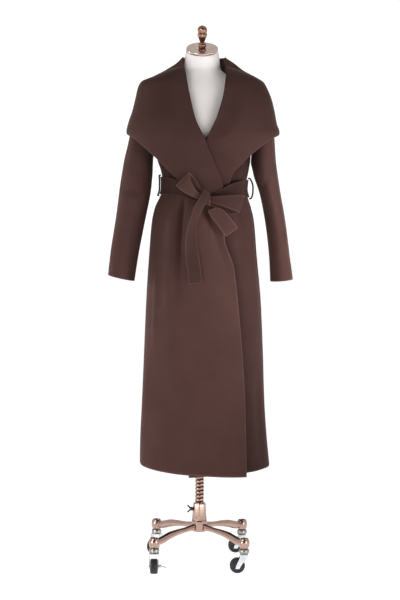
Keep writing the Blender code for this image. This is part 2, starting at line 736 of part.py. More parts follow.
def lapel_rib(z, along, edge_z, edge_x, side, roll, lift, columns):
    """One line across a lapel: round the fold at the roll line, then out to the outer edge."""
    angle = angle_at_x(BODY, read(roll, "x", z), z)
    normal = body_normal(angle, z, lift)
    inward = along.cross(normal).normalized() * side
    root = body_point(angle, z, lift) + normal * WALL - inward * SEAM
    rib = []
    for k in range(4):
        turn = math.pi * k / 4
        out = normal * (1 - math.cos(turn)) - inward * math.sin(turn)
        rib.append(root + out * FOLD_RADIUS)
    edge_angle = angle_at_x(CAPE, edge_x, edge_z)
    if side > 0 and edge_angle < 180:
        edge_angle += 360
    near_top = ease((z - COLLAR_SEAM_TURN) / (STAND_TOP - COLLAR_SEAM_TURN))
    for k in range(columns + 1):
        share = k / columns
        height = mix(z, edge_z, share)
        seam = collar_seam(side, height) - side * collar_gap(height)
        to_seam = near_top ** (1 + LAPEL_TURN / (share + LAPEL_TURN / 10))
        way = mix(mix(angle, edge_angle, share), seam, to_seam)
        lying = body_point(way, height, lift) + body_normal(way, height, lift) * FOLDED_LAYER
        free = cape_point(way, height)
        start = read(roll, "x", height)
        if side > 0:
            start = max(start, read(FRONT_RIGHT_EDGE, "x", height) + DRAPE_START)
        drape = ease(side * (lying.x - start) / DRAPE_WIDTH)
        rib.append(lying.lerp(free, max(drape, to_seam)))
    return rib


def make_lapel(name, side, roll, outer, lift):
    levels = [z for z in panel_heights(STAND_TOP) if z > LAPEL_END]
    rows = []
    for k, z in enumerate(levels):
        below, above = levels[max(k - 1, 0)], levels[min(k + 1, len(levels) - 1)]
        along = roll_point(roll, above, lift) - roll_point(roll, below, lift)
        edge_z = mix(LAPEL_END, COLLAR_TIP, (z - levels[0]) / (STAND_TOP - levels[0]))
        edge_x = read(outer, "x", edge_z)
        rows.append(lapel_rib(z, along, edge_z, edge_x, side, roll, lift, 7))
    shell(name, rows)


def make_lapels():
    make_lapel("lapel_right", -1, FRONT_RIGHT_EDGE, LAPEL_RIGHT_EDGE, over_lift)
    make_lapel("lapel_left", 1, FRONT_LEFT_EDGE, LAPEL_LEFT_EDGE, no_lift)


def collar_angle(share, z):
    """The direction at a share of the way from the collar's left end to its right end at height z."""
    left = collar_seam(1, z) - 360 + collar_gap(z)
    right = collar_seam(-1, z) - collar_gap(z)
    return mix(left, right, share)


def collar_rib(share):
    """One line down the back collar: up the stand, over the fold and down the fall."""
    end = math.degrees(SEAM / read(BODY, "right", STAND_TOP))
    angle = mix(end, 180 - end, share)
    turn = math.radians(angle)
    out = Vector((math.cos(turn), math.sin(turn), 0))
    rib = []
    for z in (COLLAR_FOOT, COLLAR_RISE, COLLAR_TOP):
        rib.append(out * (section_radius(BODY, angle, z) + WALL) + Vector((0, 0, z)))
    fall_start = cape_point(collar_angle(share, STAND_TOP), STAND_TOP)
    middle, half = (rib[-1] + fall_start) / 2, (rib[-1] - fall_start) / 2
    for k in range(1, 4):
        bend = math.pi * k / 4
        rib.append(middle + half * math.cos(bend) + Vector((0, 0, FOLD_RADIUS * math.sin(bend))))
    hem = mix(COLLAR_BACK_HEM, COLLAR_TIP, abs(math.cos(turn)) ** 3)
    falls = 7
    for k in range(falls + 1):
        z = mix(STAND_TOP, hem, k / falls)
        rib.append(cape_point(collar_angle(share, z), z))
    return rib


def make_collar():
    ribs = 14
    shell("collar", [collar_rib(k / ribs) for k in range(ribs + 1)])


def armhole_ring(side, count):
    """The sleeve's seam, just clear of the body round the armhole."""
    half = (SHOULDER_TIP - ARMPIT) / 2
    ring = []
    for k in range(count):
        turn = 2 * math.pi * k / count
        z = ARMPIT + half * (1 + math.cos(turn))
        y = ARMHOLE_DEPTH * math.sin(turn)
        across, along = axis_sizes(BODY, side, y, z)
        x = side * across * (1 - (abs(y) / along) ** SQUARENESS) ** (1 / SQUARENESS)
        angle = math.degrees(math.atan2(y, x))
        clear = WALL + 2 * SEAM + 1.2 * WALL * ease(0.5 - 0.8 * math.cos(turn))
        ring.append(Vector((x, y, z)) + body_normal(angle, z, no_lift) * clear)
    return ring


def make_sleeve(name, side, table):
    count = 12
    rows = [armhole_ring(side, count)]
    for ring in table:
        outer = Vector((side * ring.outer_x, ring.y, ring.outer_z))
        inner = Vector((side * ring.inner_x, ring.y, ring.inner_z))
        middle, reach = (outer + inner) / 2, (outer - inner) / 2
        row = []
        for k in range(count):
            turn = 2 * math.pi * k / count
            row.append(middle + reach * math.cos(turn) + Vector((0, ring.depth * math.sin(turn), 0)))
        rows.append(row)
    centres = [sum(row, Vector()) / count for row in rows]
    shell(name, rows, wrap=True, centres=centres)


def belt_middle(side):
    """Height of the belt's middle line, a little lower at the left side than at the right."""
    return BELT_MIDDLE - BELT_SLOPE * side


def belt_point(angle, z):
    """A point of the belt's inside, pressed round all that it ties."""
    right = ease((angle - BELT_FRONT_START) / BELT_FRONT_RISE)
    left = 1 - ease((angle - BELT_FRONT_END) / BELT_FRONT_FADE)
    radius = section_radius(BODY, angle, z) + mix(BELT_LIFT, BELT_FRONT_LIFT, right * left)
    turn = math.radians(angle)
    return Vector((radius * math.cos(turn), radius * math.sin(turn), z))


def make_belt_band():
    columns = 30
    rows = []
    for share in (-0.5, 0.0, 0.5):
        row = []
        for k in range(columns):
            angle = 360 * k / columns
            z = belt_middle(math.cos(math.radians(angle))) + BELT_WIDTH * share
            row.append(belt_point(angle, z))
        rows.append(row)
    shell("belt_band", rows, wrap=True)


def smooth_row(table, share):
    """A row between a table's rows, on a smooth curve through them."""
    place = share * (len(table) - 1)
    k = min(int(place), len(table) - 2)
    t = place - k
    near = [np.array(table[min(max(i, 0), len(table) - 1)]) for i in range(k - 1, k + 3)]
    slope, rise = (near[2] - near[0]) / 2, near[2] - near[1]
    next_slope = (near[3] - near[1]) / 2
    bend = t * t * (3 - 2 * t)
    start = t * (1 - t) ** 2 * slope
    return near[1] + rise * bend + start - t * t * (1 - t) * next_slope


def make_ribbon(name, table, steps):
    """A flat band of the belt along its rows."""
    rows = []
    for k in range(steps + 1):
        row = Ribbon(*smooth_row(table, k / steps))
        tilt, twist = math.radians(row.tilt), math.radians(row.twist)
        flat = Vector((math.cos(tilt), 0, math.sin(tilt)))
        across = flat * math.cos(twist) + Vector((0, -1, 0)) * math.sin(twist)
        middle = Vector((row.x, row.y, row.z))
        rows.append([middle + across * row.width * share for share in (-0.5, -0.17, 0.17, 0.5)])
    ribbon = shell(name, rows)
    ribbon.modifiers["wall"].offset = 0.0


def make_bow():
    make_ribbon("bow_loop_right", BOW_LOOP_RIGHT, 14)
    make_ribbon("bow_loop_left", BOW_LOOP_LEFT, 14)
    make_ribbon("belt_tail_right", BELT_TAIL_RIGHT, 12)
    make_ribbon("belt_tail_left", BELT_TAIL_LEFT, 8)
    count = 12
    rows = []
    for row in KNOT_RINGS:
        ring = []
        for k in range(count):
            turn = 2 * math.pi * k / count
            y = KNOT_DEPTH * row.swell * math.cos(turn)
            z = row.rise + KNOT_HEIGHT * row.swell * math.sin(turn)
            ring.append(KNOT + Vector((row.along, y, z)))
        rows.append(ring)
    shell("belt_knot", rows, wrap=True, centres=[KNOT] * len(rows))


def make_carrier(name, side, slack):
    """A thread loop over the belt at a side seam, hanging out by its slack."""
    curve = bpy.data.curves.new(name, "CURVE")
    curve.dimensions = "3D"
    curve.bevel_depth = CARRIER_RADIUS
    curve.bevel_resolution = 2
    curve.use_fill_caps = True
    spline = curve.splines.new("POLY")
    count = 8
    spline.points.add(count)
    on_cloth, over_belt = WALL + 0.0006, BELT_LIFT + WALL + 0.0012
    for k in range(count + 1):
        share = k / count
        z = belt_middle(side) + BELT_WIDTH * CARRIER_REACH * math.cos(math.pi * share)
        lift = mix(on_cloth, over_belt, ease(3.2 * math.sin(math.pi * share)))
        lift += CARRIER_RADIUS + slack * math.sin(math.pi * share) ** 2
        x = read(BODY, "left" if side > 0 else "right", z) + lift
        spline.points[k].co = (side * x, 0, z, 1)
    curve.materials.append(WOOL)
    PARTS.objects.link(bpy.data.objects.new(name, curve))


def closed_loft(bm, rings):
    """A closed solid through rings of points."""
    grid = [[bm.verts.new(p) for p in ring] for ring in rings]
    count = len(grid[0])
    for low, high in zip(grid, grid[1:]):
        for j in range(count):
            k = (j + 1) % count
            bm.faces.new((low[j], low[k], high[k], high[j]))
    bm.faces.new(list(reversed(grid[0])))
    bm.faces.new(grid[-1])
    bmesh.ops.recalc_face_normals(bm, faces=bm.faces)


def circle(radius, z, sides, start=0.0):
    """A ring of points round the Z axis."""
    turns = [2 * math.pi * (k + start) / sides for k in range(sides)]
    return [Vector((radius * math.cos(turn), radius * math.sin(turn), z)) for turn in turns]


def cylinder(bm, radius, low, high, sides, matrix=None, top_radius=None):
    """A cylinder or cone along Z from low to high."""
    place = Matrix.Translation((0, 0, (low + high) / 2))
    bmesh.ops.create_cone(
        bm,
        cap_ends=True,
        segments=sides,
        radius1=radius,
        radius2=radius if top_radius is None else top_radius,
        depth=high - low,
        matrix=place if matrix is None else matrix @ place,
    )


def turned(name, profile, sides, material, closed=False):
    """A profile turned about Z by a Screw modifier."""

    def build(bm):
        points = [bm.verts.new((row.radius, 0, row.z)) for row in profile]
        for low, high in zip(points, points[1:]):
            bm.edges.new((low, high))
        if closed:
            bm.edges.new((points[-1], points[0]))

    thing = add_object(name, mesh_from(name, build), material)
    screw = thing.modifiers.new("turn", "SCREW")
    screw.steps = sides
    screw.render_steps = sides
    screw.use_merge_vertices = True
    screw.merge_threshold = 0.00001
    screw.use_normal_calculate = closed
    return thing


def make_form():
    sides = 20

    def build(bm):
        rings = []
        for z in FORM_LEVELS + NECK_LEVELS:
            slope = math.tan(NECK_TILT) * ease((z - NECK_ROOT) / (NECK_TURN - NECK_ROOT))
            ring = []
            for k in range(sides):
                angle = 360 * k / sides
                radius = section_radius(FORM, angle, z)
                x, y = radius * math.cos(math.radians(angle)), radius * math.sin(math.radians(angle))
                ring.append(Vector((x, y, z + slope * y)))
            rings.append(ring)
        closed_loft(bm, rings)

    def build_bore(bm):
        cylinder(bm, PIVOT_BORE, FORM_BOTTOM - 0.010, FORM_BOTTOM + PIVOT_LENGTH + 0.004, 16)

    form = add_object("form_torso", mesh_from("form_torso", build), JERSEY)
    boolean(form, "DIFFERENCE", add_cutter("pivot_bore", mesh_from("pivot_bore", build_bore)))


def make_neck():
    half = CAP_THICKNESS / 2
    rim = [
        Profile(0.0, half),
        Profile(CAP_RADIUS - 0.003, half),
        Profile(CAP_RADIUS, half - 0.002),
        Profile(CAP_RADIUS, -half + 0.001),
        Profile(CAP_RADIUS - 0.001, -half),
        Profile(0.0, -half),
    ]
    tilt = Matrix.Rotation(NECK_TILT, 4, "X")
    cap = turned("neck_cap", rim, 22, ROSE_METAL)
    cap.matrix_world = Matrix.Translation(CAP_CENTRE) @ tilt
    finial = turned("neck_finial", FINIAL, 14, COPPER)
    finial.matrix_world = Matrix.Translation(CAP_CENTRE) @ tilt @ Matrix.Translation((0, 0, half))


def make_post():
    """The twisted bar, its plain upper length, the flange under the form and the pivot in it."""
    sides = 8
    step = POST_PITCH / 3
    levels = [POST_FOOT + step * k for k in range(int((TWIST_TOP - POST_FOOT) / step) + 1)]

    def build(bm):
        rings = []
        for z in levels:
            ring = []
            for k in range(sides):
                turn = 2 * math.pi * k / sides
                wave = 0.5 + 0.5 * math.cos(2 * math.pi * z / POST_PITCH - turn)
                radius = mix(POST_CORE, POST_RADIUS, wave)
                ring.append(Vector((radius * math.cos(turn), radius * math.sin(turn), z)))
            rings.append(ring)
        flange = FORM_BOTTOM - TURN_GAP
        upper = [
            Profile(BAR_RADIUS, TWIST_TOP + 0.008),
            Profile(BAR_RADIUS, flange - 0.016),
            Profile(FLANGE_RADIUS - 0.002, flange - 0.008),
            Profile(FLANGE_RADIUS, flange - 0.006),
            Profile(FLANGE_RADIUS, flange),
            Profile(PIVOT_RADIUS, flange + 0.0001),
            Profile(PIVOT_RADIUS, flange + PIVOT_LENGTH),
        ]
        rings += [circle(row.radius, row.z, sides) for row in upper]
        closed_loft(bm, rings)

    add_object("post", mesh_from("post", build), COPPER)


def to_right_side(z):
    """Turns the Z axis to the right side at height z."""
    return Matrix.Translation((0, 0, z)) @ Matrix.Rotation(-math.pi / 2, 4, "Y")


def make_column():
    sides = 8
    corner = 1 / math.cos(math.pi / sides)
    outline = [Profile(0.0, COLUMN_TOP)]
    outline += [Profile(row.radius * corner, row.z) for row in COLUMN]
    outline.append(Profile(0.0, HUB_BOTTOM))
    column = turned("column", outline, sides, COPPER)
    column.rotation_euler.z = math.pi / sides

    def build_bore(bm):
        cylinder(bm, POST_RADIUS + 0.0010, HUB_BOTTOM - 0.010, COLUMN_TOP + 0.010, 18)

    def build_hole(bm):
        cylinder(bm, SHANK_RADIUS + 0.0006, POST_CORE, HUB_FLAT + 0.006, 12, to_right_side(BOLT_HEIGHT))

    boolean(column, "DIFFERENCE", add_cutter("post_bore", mesh_from("post_bore", build_bore)))
    boolean(column, "DIFFERENCE", add_cutter("bolt_hole", mesh_from("bolt_hole", build_hole)))


def make_leg(castor):
    """A curved arm with a socket at its end, bored for the castor's stem."""
    name = "leg_" + castor.name
    heading = math.atan2(castor.side_y, castor.side_x)
    turn = Matrix.Rotation(heading, 4, "Z")
    chamfer = 0.3

    def build_arm(bm):
        rings = []
        steps = 6
        for k in range(steps + 1):
            place = (len(LEG) - 1) * k / steps
            reach, middle = read(LEG, "reach", place), read(LEG, "middle", place)
            high, wide = read(LEG, "height", place) / 2, read(LEG, "width", place) / 2
            corners = [(1, chamfer), (chamfer, 1), (-chamfer, 1), (-1, chamfer)]
            corners += [(-1, -chamfer), (-chamfer, -1), (chamfer, -1), (1, -chamfer)]
            rings.append([turn @ Vector((reach, wide * a, middle + high * b)) for a, b in corners])
        closed_loft(bm, rings)

    leg = add_object(name, mesh_from(name, build_arm), COPPER)
    place = Matrix.Translation((castor.side_x * CASTOR_REACH, castor.side_y * CASTOR_REACH, 0))

    def build_socket(bm):
        rings = [circle(row.radius, row.z, SOCKET_SIDES, 0.5) for row in SOCKET]
        closed_loft(bm, [[place @ point for point in ring] for ring in rings])

    boolean(leg, "UNION", add_cutter("socket_" + castor.name, mesh_from("socket", build_socket)))

    def build_bore(bm):
        cylinder(bm, STEM_RADIUS + 0.0008, SOCKET_BOTTOM - 0.010, SOCKET_TOP + 0.010, SOCKET_SIDES, place)

    def build_recess(bm):
        cylinder(bm, NUT_RADIUS + 0.0020, NUT_BOTTOM - FIT, SOCKET_TOP + 0.010, SOCKET_SIDES, place)

    boolean(leg, "DIFFERENCE", add_cutter("bore_" + castor.name, mesh_from("bore", build_bore)))
    boolean(leg, "DIFFERENCE", add_cutter("recess_" + castor.name, mesh_from("recess", build_recess)))


def make_clamp_bolt():
    """The wing bolt: a shank through the column's wall, a boss and two wings."""
    sideways = to_right_side(BOLT_HEIGHT)
    outline = WING + [Corner(corner.x, -corner.z) for corner in reversed(WING[1:-1])]

    def build_shank(bm):
        cylinder(bm, SHANK_RADIUS, 0.0154, 0.0300, 10, sideways)

    def build_boss(bm):
        cylinder(bm, 0.0062, 0.0210, 0.0300, 10, sideways, 0.0050)

    def build_wings(bm):
        rings = []
        for y in (-WING_HALF, WING_HALF):
            rings.append([Vector((-corner.x, y, BOLT_HEIGHT + corner.z)) for corner in outline])
        closed_loft(bm, rings)

    bolt = add_object("clamp_bolt", mesh_from("clamp_bolt", build_shank), DARK_STEEL)
    boolean(bolt, "UNION", add_cutter("bolt_boss", mesh_from("bolt_boss", build_boss)))
    boolean(bolt, "UNION", add_cutter("bolt_wings", mesh_from("bolt_wings", build_wings)))


def make_castor(castor):
    """A castor: fixed stem with its cup, swivelling fork with its axle, and wheel."""
    post = Vector((castor.side_x * CASTOR_REACH, castor.side_y * CASTOR_REACH, 0))
    mount = turned("castor_mount_" + castor.name, STEM, SOCKET_SIDES, ZINC)
    mount.location = post
    swivel = Matrix.Translation(post) @ Matrix.Rotation(math.radians(castor.trail_angle), 4, "Z")
    axle_turn = Matrix.Translation((TRAIL, 0, AXLE_HEIGHT)) @ Matrix.Rotation(math.pi / 2, 4, "X")

    def build_plate(bm):
        reach = CHEEK_OUTSIDE - 0.0005
        corners = [(-FORK_HALF, -reach), (FORK_HALF, -reach), (FORK_HALF, reach), (-FORK_HALF, reach)]
        levels = (FORK_TOP - FORK_PLATE, FORK_TOP - 0.0003)
        closed_loft(bm, [[Vector((x, y, z)) for x, y in corners] for z in levels])

    def build_right_cheek(bm):
        levels = (-CHEEK_INSIDE, -CHEEK_OUTSIDE)
        closed_loft(bm, [[Vector((corner.x, y, corner.z)) for corner in CHEEK] for y in levels])

    def build_left_cheek(bm):
        levels = (CHEEK_INSIDE, CHEEK_OUTSIDE)
        closed_loft(bm, [[Vector((corner.x, y, corner.z)) for corner in CHEEK] for y in levels])

    def build_axle(bm):
        cylinder(bm, AXLE_RADIUS, -AXLE_END, AXLE_END, 8, axle_turn)

    name = "castor_fork_" + castor.name
    fork = add_object(name, mesh_from(name, build_plate), ZINC)
    fork.matrix_world = swivel
    pieces = {"cheek_1": build_right_cheek, "cheek_2": build_left_cheek, "axle": build_axle}
    for piece, build in pieces.items():
        joined = add_cutter(piece + "_" + castor.name, mesh_from(piece, build))
        joined.matrix_world = swivel
        boolean(fork, "UNION", joined)

    tread = [
        Profile(AXLE_RADIUS + 0.0006, WHEEL_HALF),
        Profile(WHEEL_RADIUS - 0.0035, WHEEL_HALF),
        Profile(WHEEL_RADIUS, TREAD_HALF),
    ]
    tread += [Profile(row.radius, -row.z) for row in reversed(tread)]
    wheel = turned("castor_wheel_" + castor.name, tread, WHEEL_SIDES, RUBBER, closed=True)
    facet = Matrix.Rotation(math.pi / 2 + math.pi / WHEEL_SIDES, 4, "Z")
    wheel.matrix_world = swivel @ axle_turn @ facet
    return swivel


def make_brake_lever(swivel):
    """A small wing lever outside the fork's cheek, turning on the axle's line."""
    start = AXLE_END + FIT
    turn = swivel @ Matrix.Translation((TRAIL, 0, AXLE_HEIGHT)) @ Matrix.Rotation(-math.pi / 2, 4, "X")

    def build_hub(bm):
        cylinder(bm, BRAKE_RADIUS, start, start + 0.005, 12)

    def build_wing(bm):
        rings = []
        for lift in (-BRAKE_WING_HALF, BRAKE_WING_HALF):
            ring = []
            for corner in BRAKE_WING:
                ring.append(Vector((corner.x, lift + BRAKE_WING_LEAN * corner.z, start + corner.z)))
            rings.append(ring)
        closed_loft(bm, rings)

    lever = add_object("brake_lever", mesh_from("brake_lever", build_hub), ZINC)
    lever.matrix_world = turn
    wing = add_cutter("brake_wing", mesh_from("brake_wing", build_wing))
    wing.matrix_world = turn
    boolean(lever, "UNION", wing)


make_back_half("back_right", -1)
make_back_half("back_left", 1)
make_fronts()
make_lapels()
make_collar()
make_sleeve("sleeve_right", -1, SLEEVE_RIGHT)
make_sleeve("sleeve_left", 1, SLEEVE_LEFT)
make_belt_band()
make_bow()
make_carrier("belt_carrier_right", -1, 0.0025)
make_carrier("belt_carrier_left", 1, 0.013)
make_form()
make_neck()
make_post()
make_column()
make_clamp_bolt()
for each in CASTORS:
    make_leg(each)
    swivel_of_each = make_castor(each)
    if each.name == "front_right":
        make_brake_lever(swivel_of_each)
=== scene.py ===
"""Dresses the wrap overcoat on its dress form and castor stand for the picture.

Metres, +Z up, the floor at z = 0 and the stand's post on the Z axis. The coat's front faces -Y.
Right and left are the wearer's, so the right side lies towards -X.
Angles round the body are degrees: 0 at the left side, 90 at the back, 180 at the right side, 270 in front.
"""

import math
from collections import namedtuple
from functools import partial

import bpy
import numpy as np
from mathutils import Matrix, Vector


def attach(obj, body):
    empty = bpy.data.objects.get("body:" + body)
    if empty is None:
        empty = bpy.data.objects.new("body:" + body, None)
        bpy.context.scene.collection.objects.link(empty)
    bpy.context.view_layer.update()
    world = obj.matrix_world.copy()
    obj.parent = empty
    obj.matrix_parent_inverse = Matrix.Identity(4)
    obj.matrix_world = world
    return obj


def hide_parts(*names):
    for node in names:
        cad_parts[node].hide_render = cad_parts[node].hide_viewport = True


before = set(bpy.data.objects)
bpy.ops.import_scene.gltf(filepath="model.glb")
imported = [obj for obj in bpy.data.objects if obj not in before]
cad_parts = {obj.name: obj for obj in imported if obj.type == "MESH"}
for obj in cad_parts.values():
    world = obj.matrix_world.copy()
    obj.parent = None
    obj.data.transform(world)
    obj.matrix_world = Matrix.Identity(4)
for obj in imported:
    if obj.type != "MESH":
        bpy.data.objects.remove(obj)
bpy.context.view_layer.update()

# Cloth
WALL = 0.0024
FOLD_RADIUS = 0.0012
LAYER_GAP = 0.0014
SEAM = 0.0005
FOLDED_LAYER = WALL + 2 * FOLD_RADIUS
UNDER_LAYERS = FOLDED_LAYER + WALL + LAYER_GAP
SQUARENESS = 2.2
DRAPE_WIDTH = 0.05
DRAPE_START = 0.010
LAPEL_TURN = 0.2
LAPEL_TURN_START = LAPEL_TURN / 10
EDGE_ROUND = (0.0, 0.12, 0.4, 1.0)
EDGE_REACH = 0.9
# Free edges get a lighter tone over this width: partly the cut edge's own, partly a painted highlight
EDGE_HIGHLIGHT_FADE = 0.0040
ALL_EDGES = ("first row", "last row", "first column", "last column")
FOLD_TOP_FADE = 0.2
FOLD_FOOT_FADE = 0.6
CREASE_FADE = 1.5
SLEEVE_GIRTH = 0.30
NORMAL_TURN = 1
NORMAL_RISE = 0.002
LEAST_LENGTH = 1e-12

# Rows and columns of the cloth's grids
SKIRT_ROWS = 110
WAIST_ROWS = 56
ARMHOLE_ROWS = 48
SHOULDER_ROWS = 46
ROW_GAP = 0.0005
BACK_COLUMNS = 80
OVER_FRONT_COLUMNS = 150
UNDER_FRONT_COLUMNS = 120
LAPEL_ROWS = 104
LAPEL_TOP_ROWS = 34
LAPEL_COLUMNS = 90
TURN_STEPS = 13
COLLAR_ROWS = 150
STAND_COLUMNS = 12
FALL_COLUMNS = 80
SLEEVE_ROWS = 190
SLEEVE_COLUMNS = 96
BELT_ROWS = 16
BELT_COLUMNS = 300
RIBBON_COLUMNS = 18
KNOT_ROWS = 24
KNOT_COLUMNS = 64

# How far the shade reaches where one layer of cloth lies close over another
EDGE_SHADE = 0.020
EDGE_SHADE_FADE = 0.05
LAPEL_SHADE = 0.026
ROLL_SHADE = 0.007
ROLL_SHADE_FADE = 0.02
SLEEVE_SHADE = 0.050
SLEEVE_SHADE_SHARE = 0.8
SLEEVE_SHADE_FADE = 0.035
SLEEVE_SHADE_RIGHT = 0.235
SLEEVE_SHADE_LEFT = 0.205

# Heights of the coat
HEM = 0.300
HEM_REACH = 0.150
OVER_HEM_SWEEP = 0.7
UNDER_HEM_SWEEP = 2.0
HEM_RISE_RIGHT = 0.0175
HEM_RISE_LEFT = 0.0055
OVER_FRONT_RISE = -0.0055
UNDER_FRONT_RISE = -0.0065
ARMPIT = 1.262
SHOULDER_TIP = 1.452
BACK_NECK = 1.506
STAND_TOP = 1.536
LAPEL_FOOT = 1.1250
COLLAR_TIP = 1.317
COLLAR_BACK_HEM = 1.335
COLLAR_SEAM_TURN = 1.490
COLLAR_SEAM_FOOT = 1.500
COLLAR_FOOT = BACK_NECK + 0.0036
COLLAR_TOP = STAND_TOP + FOLD_RADIUS
COLLAR_HEM_SWEEP = 3
SKIRT_TOP = 1.05
ARMHOLE_DEPTH = 0.060
UNDERARM_ROOM = 1.2 * WALL
UNDERARM_START = 0.5
UNDERARM_TURN = 0.8

# Where the over front leaves the body, in degrees, and the heights at which it lies closer again
OVERLAP_START = 222
OVERLAP_WIDTH = 26
TWO_LAYERS_FOOT = 1.030
TWO_LAYERS_RISE = 0.080
OVERLAP_END = 1.310
OVERLAP_FADE = 0.090

# How far the over front stands off the under front along its edge
EDGE_STAND = 0.016
EDGE_STAND_START = 268
EDGE_STAND_WIDTH = 40
EDGE_STAND_FOOT = 0.45
EDGE_STAND_TOP = 1.06

# Belt
BELT_MIDDLE = 1.1515
BELT_SLOPE = 0.0040
BELT_WIDTH = 0.053
BELT_LIFT = 0.0058
BELT_FRONT_LIFT = 0.0184
BELT_FRONT_START = 206
BELT_FRONT_RISE = 30
BELT_FRONT_END = 318
BELT_FRONT_FADE = 24
BELT_TOP_DIP = 0.050
BELT_TOP_SPREAD = 30
BELT_FOOT_DIP = 0.022
BELT_FOOT_SPREAD = 26
CARRIER_RADIUS = 0.0025
CARRIER_REACH = 0.58
CARRIER_STEPS = 49
CARRIER_ROOT_GAP = 0.0006
CARRIER_BELT_GAP = 0.0005
CARRIER_RISE = 3.2
CARRIER_SLACK_RIGHT = 0.0004
CARRIER_SLACK_LEFT = 0.013
KNOT = Vector((0.014, -0.140, 1.118))
KNOT_ANGLE = 276
KNOT_DEPTH = 0.0105
KNOT_HEIGHT = 0.0150

# Dress form
FORM_BOTTOM = 0.800
FORM_BODY_TOP = 1.430
FORM_BODY_ROWS = 34
FORM_NECK_FOOT = 1.437
FORM_NECK_ROWS = 32
FORM_SIDES = 96
NECK_ROOT = 1.490
NECK_TURN = 1.545
NECK_TOP = 1.560
NECK_TILT = math.radians(25.7)
CAP_CENTRE = (0.0, 0.0, 1.565)
CAP_RADIUS = 0.0480
CAP_HALF = 0.004
FINIAL_STEPS = 86

# Hard pieces: the least radius of an end, points taken as one, and how edges are rounded and shaded
TIP = 0.00005
SAME_POINT = 0.000005
ROUNDING_STEPS = 3
ROUNDING_ANGLE = 22
SMOOTH_ANGLE = 35
FACING = 0.95

# Stand
TURN_GAP = 0.0006
PIVOT_RADIUS = 0.0104
PIVOT_LENGTH = 0.048
PIVOT_BORE = 0.0112
PIVOT_DEPTH = 0.052
FLANGE_RADIUS = 0.0380
FLANGE_TOP = FORM_BOTTOM - TURN_GAP
BAR_RADIUS = 0.0115
POST_RADIUS = 0.0138
POST_CORE = 0.0090
POST_FOOT_RADIUS = POST_RADIUS - 0.0003
POST_PITCH = 0.0116
POST_FOOT = 0.100
TWIST_TOP = 0.320
THREAD_DEPTH = 0.0045
THREAD_SIDES = 24
THREAD_STEPS = 40
COLUMN_SIDES = 8
HALF_SIDE = math.pi / COLUMN_SIDES
CORNER = 1 / math.cos(HALF_SIDE)
COLUMN_BORE = POST_RADIUS + 0.0010
COLUMN_TOP = 0.186
HUB_TOP = 0.133
HUB_BOTTOM = 0.097
HUB_FLAT = 0.0235
LEG_SIDES = 8
LEG_STEPS = 30
BOLT_HEIGHT = 0.166
SHANK_RADIUS = 0.0030
WING_SIDES = 16
WING_RADIUS = 0.0026
WING_ASIDE = 0.0012
WING_OUT = 0.0270
WING_LEAN = 0.7
WING_FLATNESS = 0.55

# Castors
CASTOR_REACH = 0.1345
SOCKET_BOTTOM = 0.0750
SOCKET_TOP = 0.1050
SOCKET_RADIUS = 0.0165
STEM_RADIUS = 0.0050
FIT = 0.0005
NUT_RADIUS = 0.0085
NUT_BOTTOM = 0.0935
NUT_SEAT = NUT_BOTTOM - FIT
CUP_TOP = 0.0745
CUP_BOTTOM = 0.0595
AXLE_HEIGHT = 0.02305
AXLE_RADIUS = 0.0030
AXLE_END = 0.0165
TRAIL = 0.020
CHEEK_INSIDE = 0.0133
CHEEK_OUTSIDE = 0.0153
CHEEK_HALF = 0.0125
FORK_TOP = 0.0590
FORK_PLATE = 0.0032
FORK_HALF = 0.0120
CHEEK_FOOT = FORK_TOP - 0.0090
PLATE_DROP = 0.0003
PLATE_REACH = CHEEK_OUTSIDE - 0.0006
BRAKE_RADIUS = 0.0058
BRAKE_START = AXLE_END + FIT
BRAKED_CASTOR = "front_right"

# Studio
SHINE_SLOPE = 0.6
SHINE_START = -1.15
SHINE_END = -0.80
SHINE_LEAST = 0.12
SHINE_MOST = 0.74
ROOM_TONE = (0.02, 0.02, 0.02, 1)
BACKDROP_TONE = (1.1, 1.1, 1.1, 1)
FLOOR_SIZE = 40.0
FLOOR_GLOW = 1.02
CAMERA_PLACE = (-0.002, -5.0, 1.2)
CAMERA_DIP = 4.475
CAMERA_ROLL = 0.006
CAMERA_LENS = 99.0
CAMERA_SENSOR = 36.0

Section = namedtuple("Section", "z right left front back")
Edge = namedtuple("Edge", "z x")
Fold = namedtuple("Fold", "angle lean top bottom depth width")
Ring = namedtuple("Ring", "outer_x outer_z inner_x inner_z depth y")
Ribbon = namedtuple("Ribbon", "x y z width tilt twist")
KnotRing = namedtuple("KnotRing", "along swell rise")
Strip = namedtuple("Strip", "rows steps")
HemLine = namedtuple("HemLine", "side_rise edge_rise sweep")
Profile = namedtuple("Profile", "radius z")
LegSection = namedtuple("LegSection", "reach middle height width")
WingStep = namedtuple("WingStep", "aside out share")
FaceStep = namedtuple("FaceStep", "move share")
Castor = namedtuple("Castor", "name side_x side_y trail_angle")
Crease = namedtuple("Crease", "turn along slant length width depth")
Cut = namedtuple("Cut", "width length area held rests_on")
Plating = namedtuple("Plating", "light dark roughness grain wear")
Lamp = namedtuple("Lamp", "name place target size power spread")


def rows_of(kind, *rows):
    """A table whose rows are all of one kind."""
    return [kind(*row) for row in rows]


